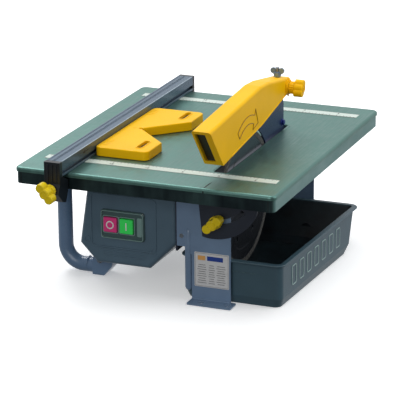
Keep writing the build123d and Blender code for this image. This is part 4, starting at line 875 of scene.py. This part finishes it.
def label_details():
    """A plain silver label with blocks and bars in place of any lettering."""
    low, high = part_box("label_plate")
    middle = middle_of("label_plate")
    face, width, height = -low[1], high[0] - low[0], high[2] - low[2]

    def block(target, u, v, w, h):
        """A bar, its place and size given as parts of the label's."""
        prism(target, rectangle(low[0] + u * width, low[2] + v * height, w * width, h * height),
              face, face + PRINT, front)

    for name, u, long, look in (("label_bar_main", 0.60, 0.46, blue_print),
                                ("label_bar_side", 0.21, 0.22, amber_print)):
        bar = bmesh.new()
        block(bar, u, 0.84, long, 0.13)
        finish_piece(name, bar, "base", "label_silver", look)
    rows = bmesh.new()
    for k in range(9):
        for u, w in ((0.22, 0.26), (0.50, 0.18), (0.77, 0.26)):
            shorter = 0.12 * ((k * 5 + int(u * 10)) % 3)
            block(rows, u, 0.64 - 0.065 * k, w * (1 - shorter), 0.018)
    finish_piece("label_rows", rows, "base", "label_silver", grey_print)
    border = bmesh.new()
    rounded_frame(border, middle[0], middle[2], (width - 2 * MM, height - 2 * MM), 0.4 * MM,
                  (1.2 * MM, 1.0 * MM), face, face + PRINT, front)
    finish_piece("label_border", border, "base", "label_silver", grey_print)


label_details()


# ------------------------------------------------------------------ bolts
PIN_HEIGHT = 160 * MM


def socket_head(name, place_at, radius, face, place):
    """The hexagon socket in a bolt's head: a flat hexagon painted dark as the shade inside it."""
    socket = bmesh.new()
    prism(socket, circle(*place_at, radius, 6), face, face + PRINT, place)
    finish_piece(name, socket, "base", "bright_steel", dark_gap_and_recess_shade)


pins_low, pins_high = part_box("hinge_pins")
for label, place in (("front", front), ("rear", rear)):
    socket_head(f"{label}_pin_socket", (0.0, PIN_HEIGHT), 2.4 * MM,
                (pins_high[1] - pins_low[1]) / 2, place)


def knife_details():
    """A dark blue bolt with its washer at the foot of the riving knife."""
    at = (76 * MM, table_high[2] + 9 * MM)
    washer, hexagon = circle(*at, 5.2 * MM), circle(*at, 3.8 * MM, 6)
    bolt = bmesh.new()
    for outline, low, high in ((washer, 1.0, 1.8), (hexagon, 1.8, 4.6), (hexagon, -2.6, -1.0)):
        prism(bolt, outline, low * MM, high * MM, right)
    blue = surface("blue_bolt", rgb(38, 54, 132), rough=0.3, metal=0.5, mottle=0.12, wear=0.5)
    finish_piece("knife_tie_bolt", bolt, "base", "knife_steel", blue, edge=0.3 * MM)


knife_details()


# ------------------------------------------------------------------ legs
LEG_X, LEG_Z = -206 * MM, 11.2 * MM      # a leg's middle line near its end
CLAMP_SCREW = (-184 * MM, 23 * MM)       # X and Z


def leg_details():
    """A collar on the end of each leg, and the screw of its clamp with a socket."""
    for label, y in (("front", -110 * MM), ("rear", 4 * MM)):
        bead(f"{label}_leg_collar", [(LEG_X, *point) for point in circle(y, LEG_Z, 9.9 * MM, 24)],
             0.9 * MM, "base", "leg_paint", closed=True)
        head, face = bmesh.new(), -y + 15.4 * MM
        prism(head, circle(*CLAMP_SCREW, 4.2 * MM), face - 2.4 * MM, face, front)
        finish_piece(f"{label}_clamp_screw", head, "base", "bright_steel", edge=0.4 * MM)
        socket_head(f"{label}_clamp_socket", CLAMP_SCREW, 1.9 * MM, face, front)


leg_details()


# ------------------------------------------------------------------ water tank
TANK_LEFT, TANK_FRONT, TANK_REAR = -50, -155.5, 112        # outer walls, in millimetres
TANK_RIGHT_FRONT, TANK_RIGHT_REAR = 85, 96                 # the right wall leans outwards
RIM_OUT, RIM_RADIUS = 3.0, 11.0
PLUG = (30 * MM, 22 * MM)                                  # X and Z, on the rear wall


def tank_details():
    """Rolled rim, frames on the right side in place of lettering, a plug and a level line."""
    rim_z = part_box("water_tank")[1][2] - 1.4 * MM
    rim = []
    for x, sx, y, sy, start in ((TANK_LEFT, -1, TANK_FRONT, -1, 180),
                                (TANK_RIGHT_FRONT, 1, TANK_FRONT, -1, 270),
                                (TANK_RIGHT_REAR, 1, TANK_REAR, 1, 0),
                                (TANK_LEFT, -1, TANK_REAR, 1, 90)):
        corner = (x + sx * (RIM_OUT - RIM_RADIUS)) * MM, (y + sy * (RIM_OUT - RIM_RADIUS)) * MM
        rim += [(*polar(*corner, RIM_RADIUS * MM, math.radians(start + 15 * k)), rim_z)
                for k in range(7)]
    bead("tank_rim", rim, 1.5 * MM, "tank", "tank_plastic", closed=True)

    def side_x(y):
        """The right wall's X at a depth."""
        part_way = (y / MM - TANK_FRONT) / (TANK_REAR - TANK_FRONT)
        return (TANK_RIGHT_FRONT + part_way * (TANK_RIGHT_REAR - TANK_RIGHT_FRONT)) * MM

    frames = bmesh.new()
    for k in range(7):
        at = ((-112 + 26 * k) * MM, 34 * MM)
        outer = rounded(*at, 15 * MM, 27 * MM, 3 * MM, 3)
        inner = rounded(*at, 12.6 * MM, 24.6 * MM, 2 * MM, 3)
        frame_prism(frames, outer, inner, -0.3 * MM, 0.8 * MM,
                    lambda u, v, w: right(u, v, side_x(u) + w))
    pale = surface("rib_moulding", rgb(160, 186, 182), rough=0.36, mottle=0.08, grain=1300.0,
                   bump=0.15)
    finish_piece("tank_side_frames", frames, "tank", "tank_plastic", pale, edge=0.2 * MM)

    plug = bmesh.new()
    prism(plug, circle(*PLUG, 9 * MM), 96 * MM, 101 * MM, rear)
    ring(plug, *PLUG, 7.5 * MM, 5 * MM, 101 * MM, 104 * MM, rear)
    prism(plug, rounded(*PLUG, 11 * MM, 2.4 * MM, 1 * MM, 3), 101 * MM, 105 * MM, rear)
    finish_piece("drain_plug", plug, "tank", "black_plastic", edge=0.4 * MM)
    level = bmesh.new()
    wall = -TANK_FRONT * MM
    prism(level, rectangle(20 * MM, 44 * MM, 60 * MM, 0.8 * MM), wall, wall + 0.4 * MM, front)
    finish_piece("tank_level_line", level, "tank", "tank_plastic", edge=0.1 * MM)


tank_details()


# ------------------------------------------------------------------ studio
SKY_SIDE = (-0.30, 0.82, 0.48)    # the brightest part of the sky
SKY_BRIGHT = 0.9
SKY_DIM = 0.14
FLOOR_REACH = 30.0
FLOOR_DROP = 0.5 * MM
LIGHT_TARGET = (-0.05, 0, 0.12)


def light(name, place, size, power):
    """A square lamp that faces the saw."""
    lamp = bpy.data.lights.new(name, "AREA")
    lamp.shape, lamp.size, lamp.energy = "SQUARE", size, power
    made = bpy.data.objects.new(name, lamp)
    bpy.context.scene.collection.objects.link(made)
    made.location = place
    made.rotation_mode = "QUATERNION"
    made.rotation_quaternion = (Vector(LIGHT_TARGET) - Vector(place)).to_track_quat("-Z", "Y")


def pale_floor():
    """A wide pale floor just under the feet, which sends no light back up at the saw."""
    mesh = bpy.data.meshes.new("floor")
    reach = FLOOR_REACH
    mesh.from_pydata([(x * reach, y * reach, -FLOOR_DROP)
                      for x, y in ((-1, -1), (1, -1), (1, 1), (-1, 1))], [], [(0, 1, 2, 3)])
    pale = Nodes("studio_floor")
    cloud = pale.noise(3.0)
    pale.drive(Base_Color=pale.mix(cloud, (0.93, 0.93, 0.93, 1), (0.97, 0.97, 0.97, 1)),
               Roughness=0.9, Emission_Color=(1, 1, 1, 1), Emission_Strength=0.35)
    mesh.materials.append(pale.material)
    made = bpy.data.objects.new("floor", mesh)
    bpy.context.scene.collection.objects.link(made)
    made.visible_diffuse = False
    made.visible_glossy = False


def sky():
    """A sky that is brightest behind the saw and above it, and dim towards the operator."""
    world = bpy.data.worlds.new("sky")
    bpy.context.scene.world = world
    world.use_nodes = True
    tree = world.node_tree
    direction = tree.nodes.new("ShaderNodeTexCoord").outputs["Generated"]
    lean = tree.nodes.new("ShaderNodeVectorMath")
    lean.operation = "DOT_PRODUCT"
    lean.inputs[1].default_value = SKY_SIDE
    tree.links.new(direction, lean.inputs[0])
    fade = tree.nodes.new("ShaderNodeMapRange")
    for key, value in (("From Min", -0.4), ("From Max", 0.9), ("To Min", SKY_DIM),
                       ("To Max", SKY_BRIGHT)):
        fade.inputs[key].default_value = value
    tree.links.new(lean.outputs["Value"], fade.inputs["Value"])
    background = tree.nodes["Background"]
    background.inputs["Color"].default_value = (0.95, 0.97, 1.0, 1.0)
    tree.links.new(fade.outputs["Result"], background.inputs["Strength"])


pale_floor()
sky()
light("key", (-1.1, 0.7, 1.6), 0.9, 15)          # behind, from the left
light("top", (-0.1, -0.1, 2.2), 1.4, 11)
light("side", (1.7, 0.2, 0.9), 1.2, 13)          # from the right
light("front_fill", (0.1, -2.2, 0.8), 1.4, 14)
bpy.context.scene.view_settings.view_transform = "Standard"
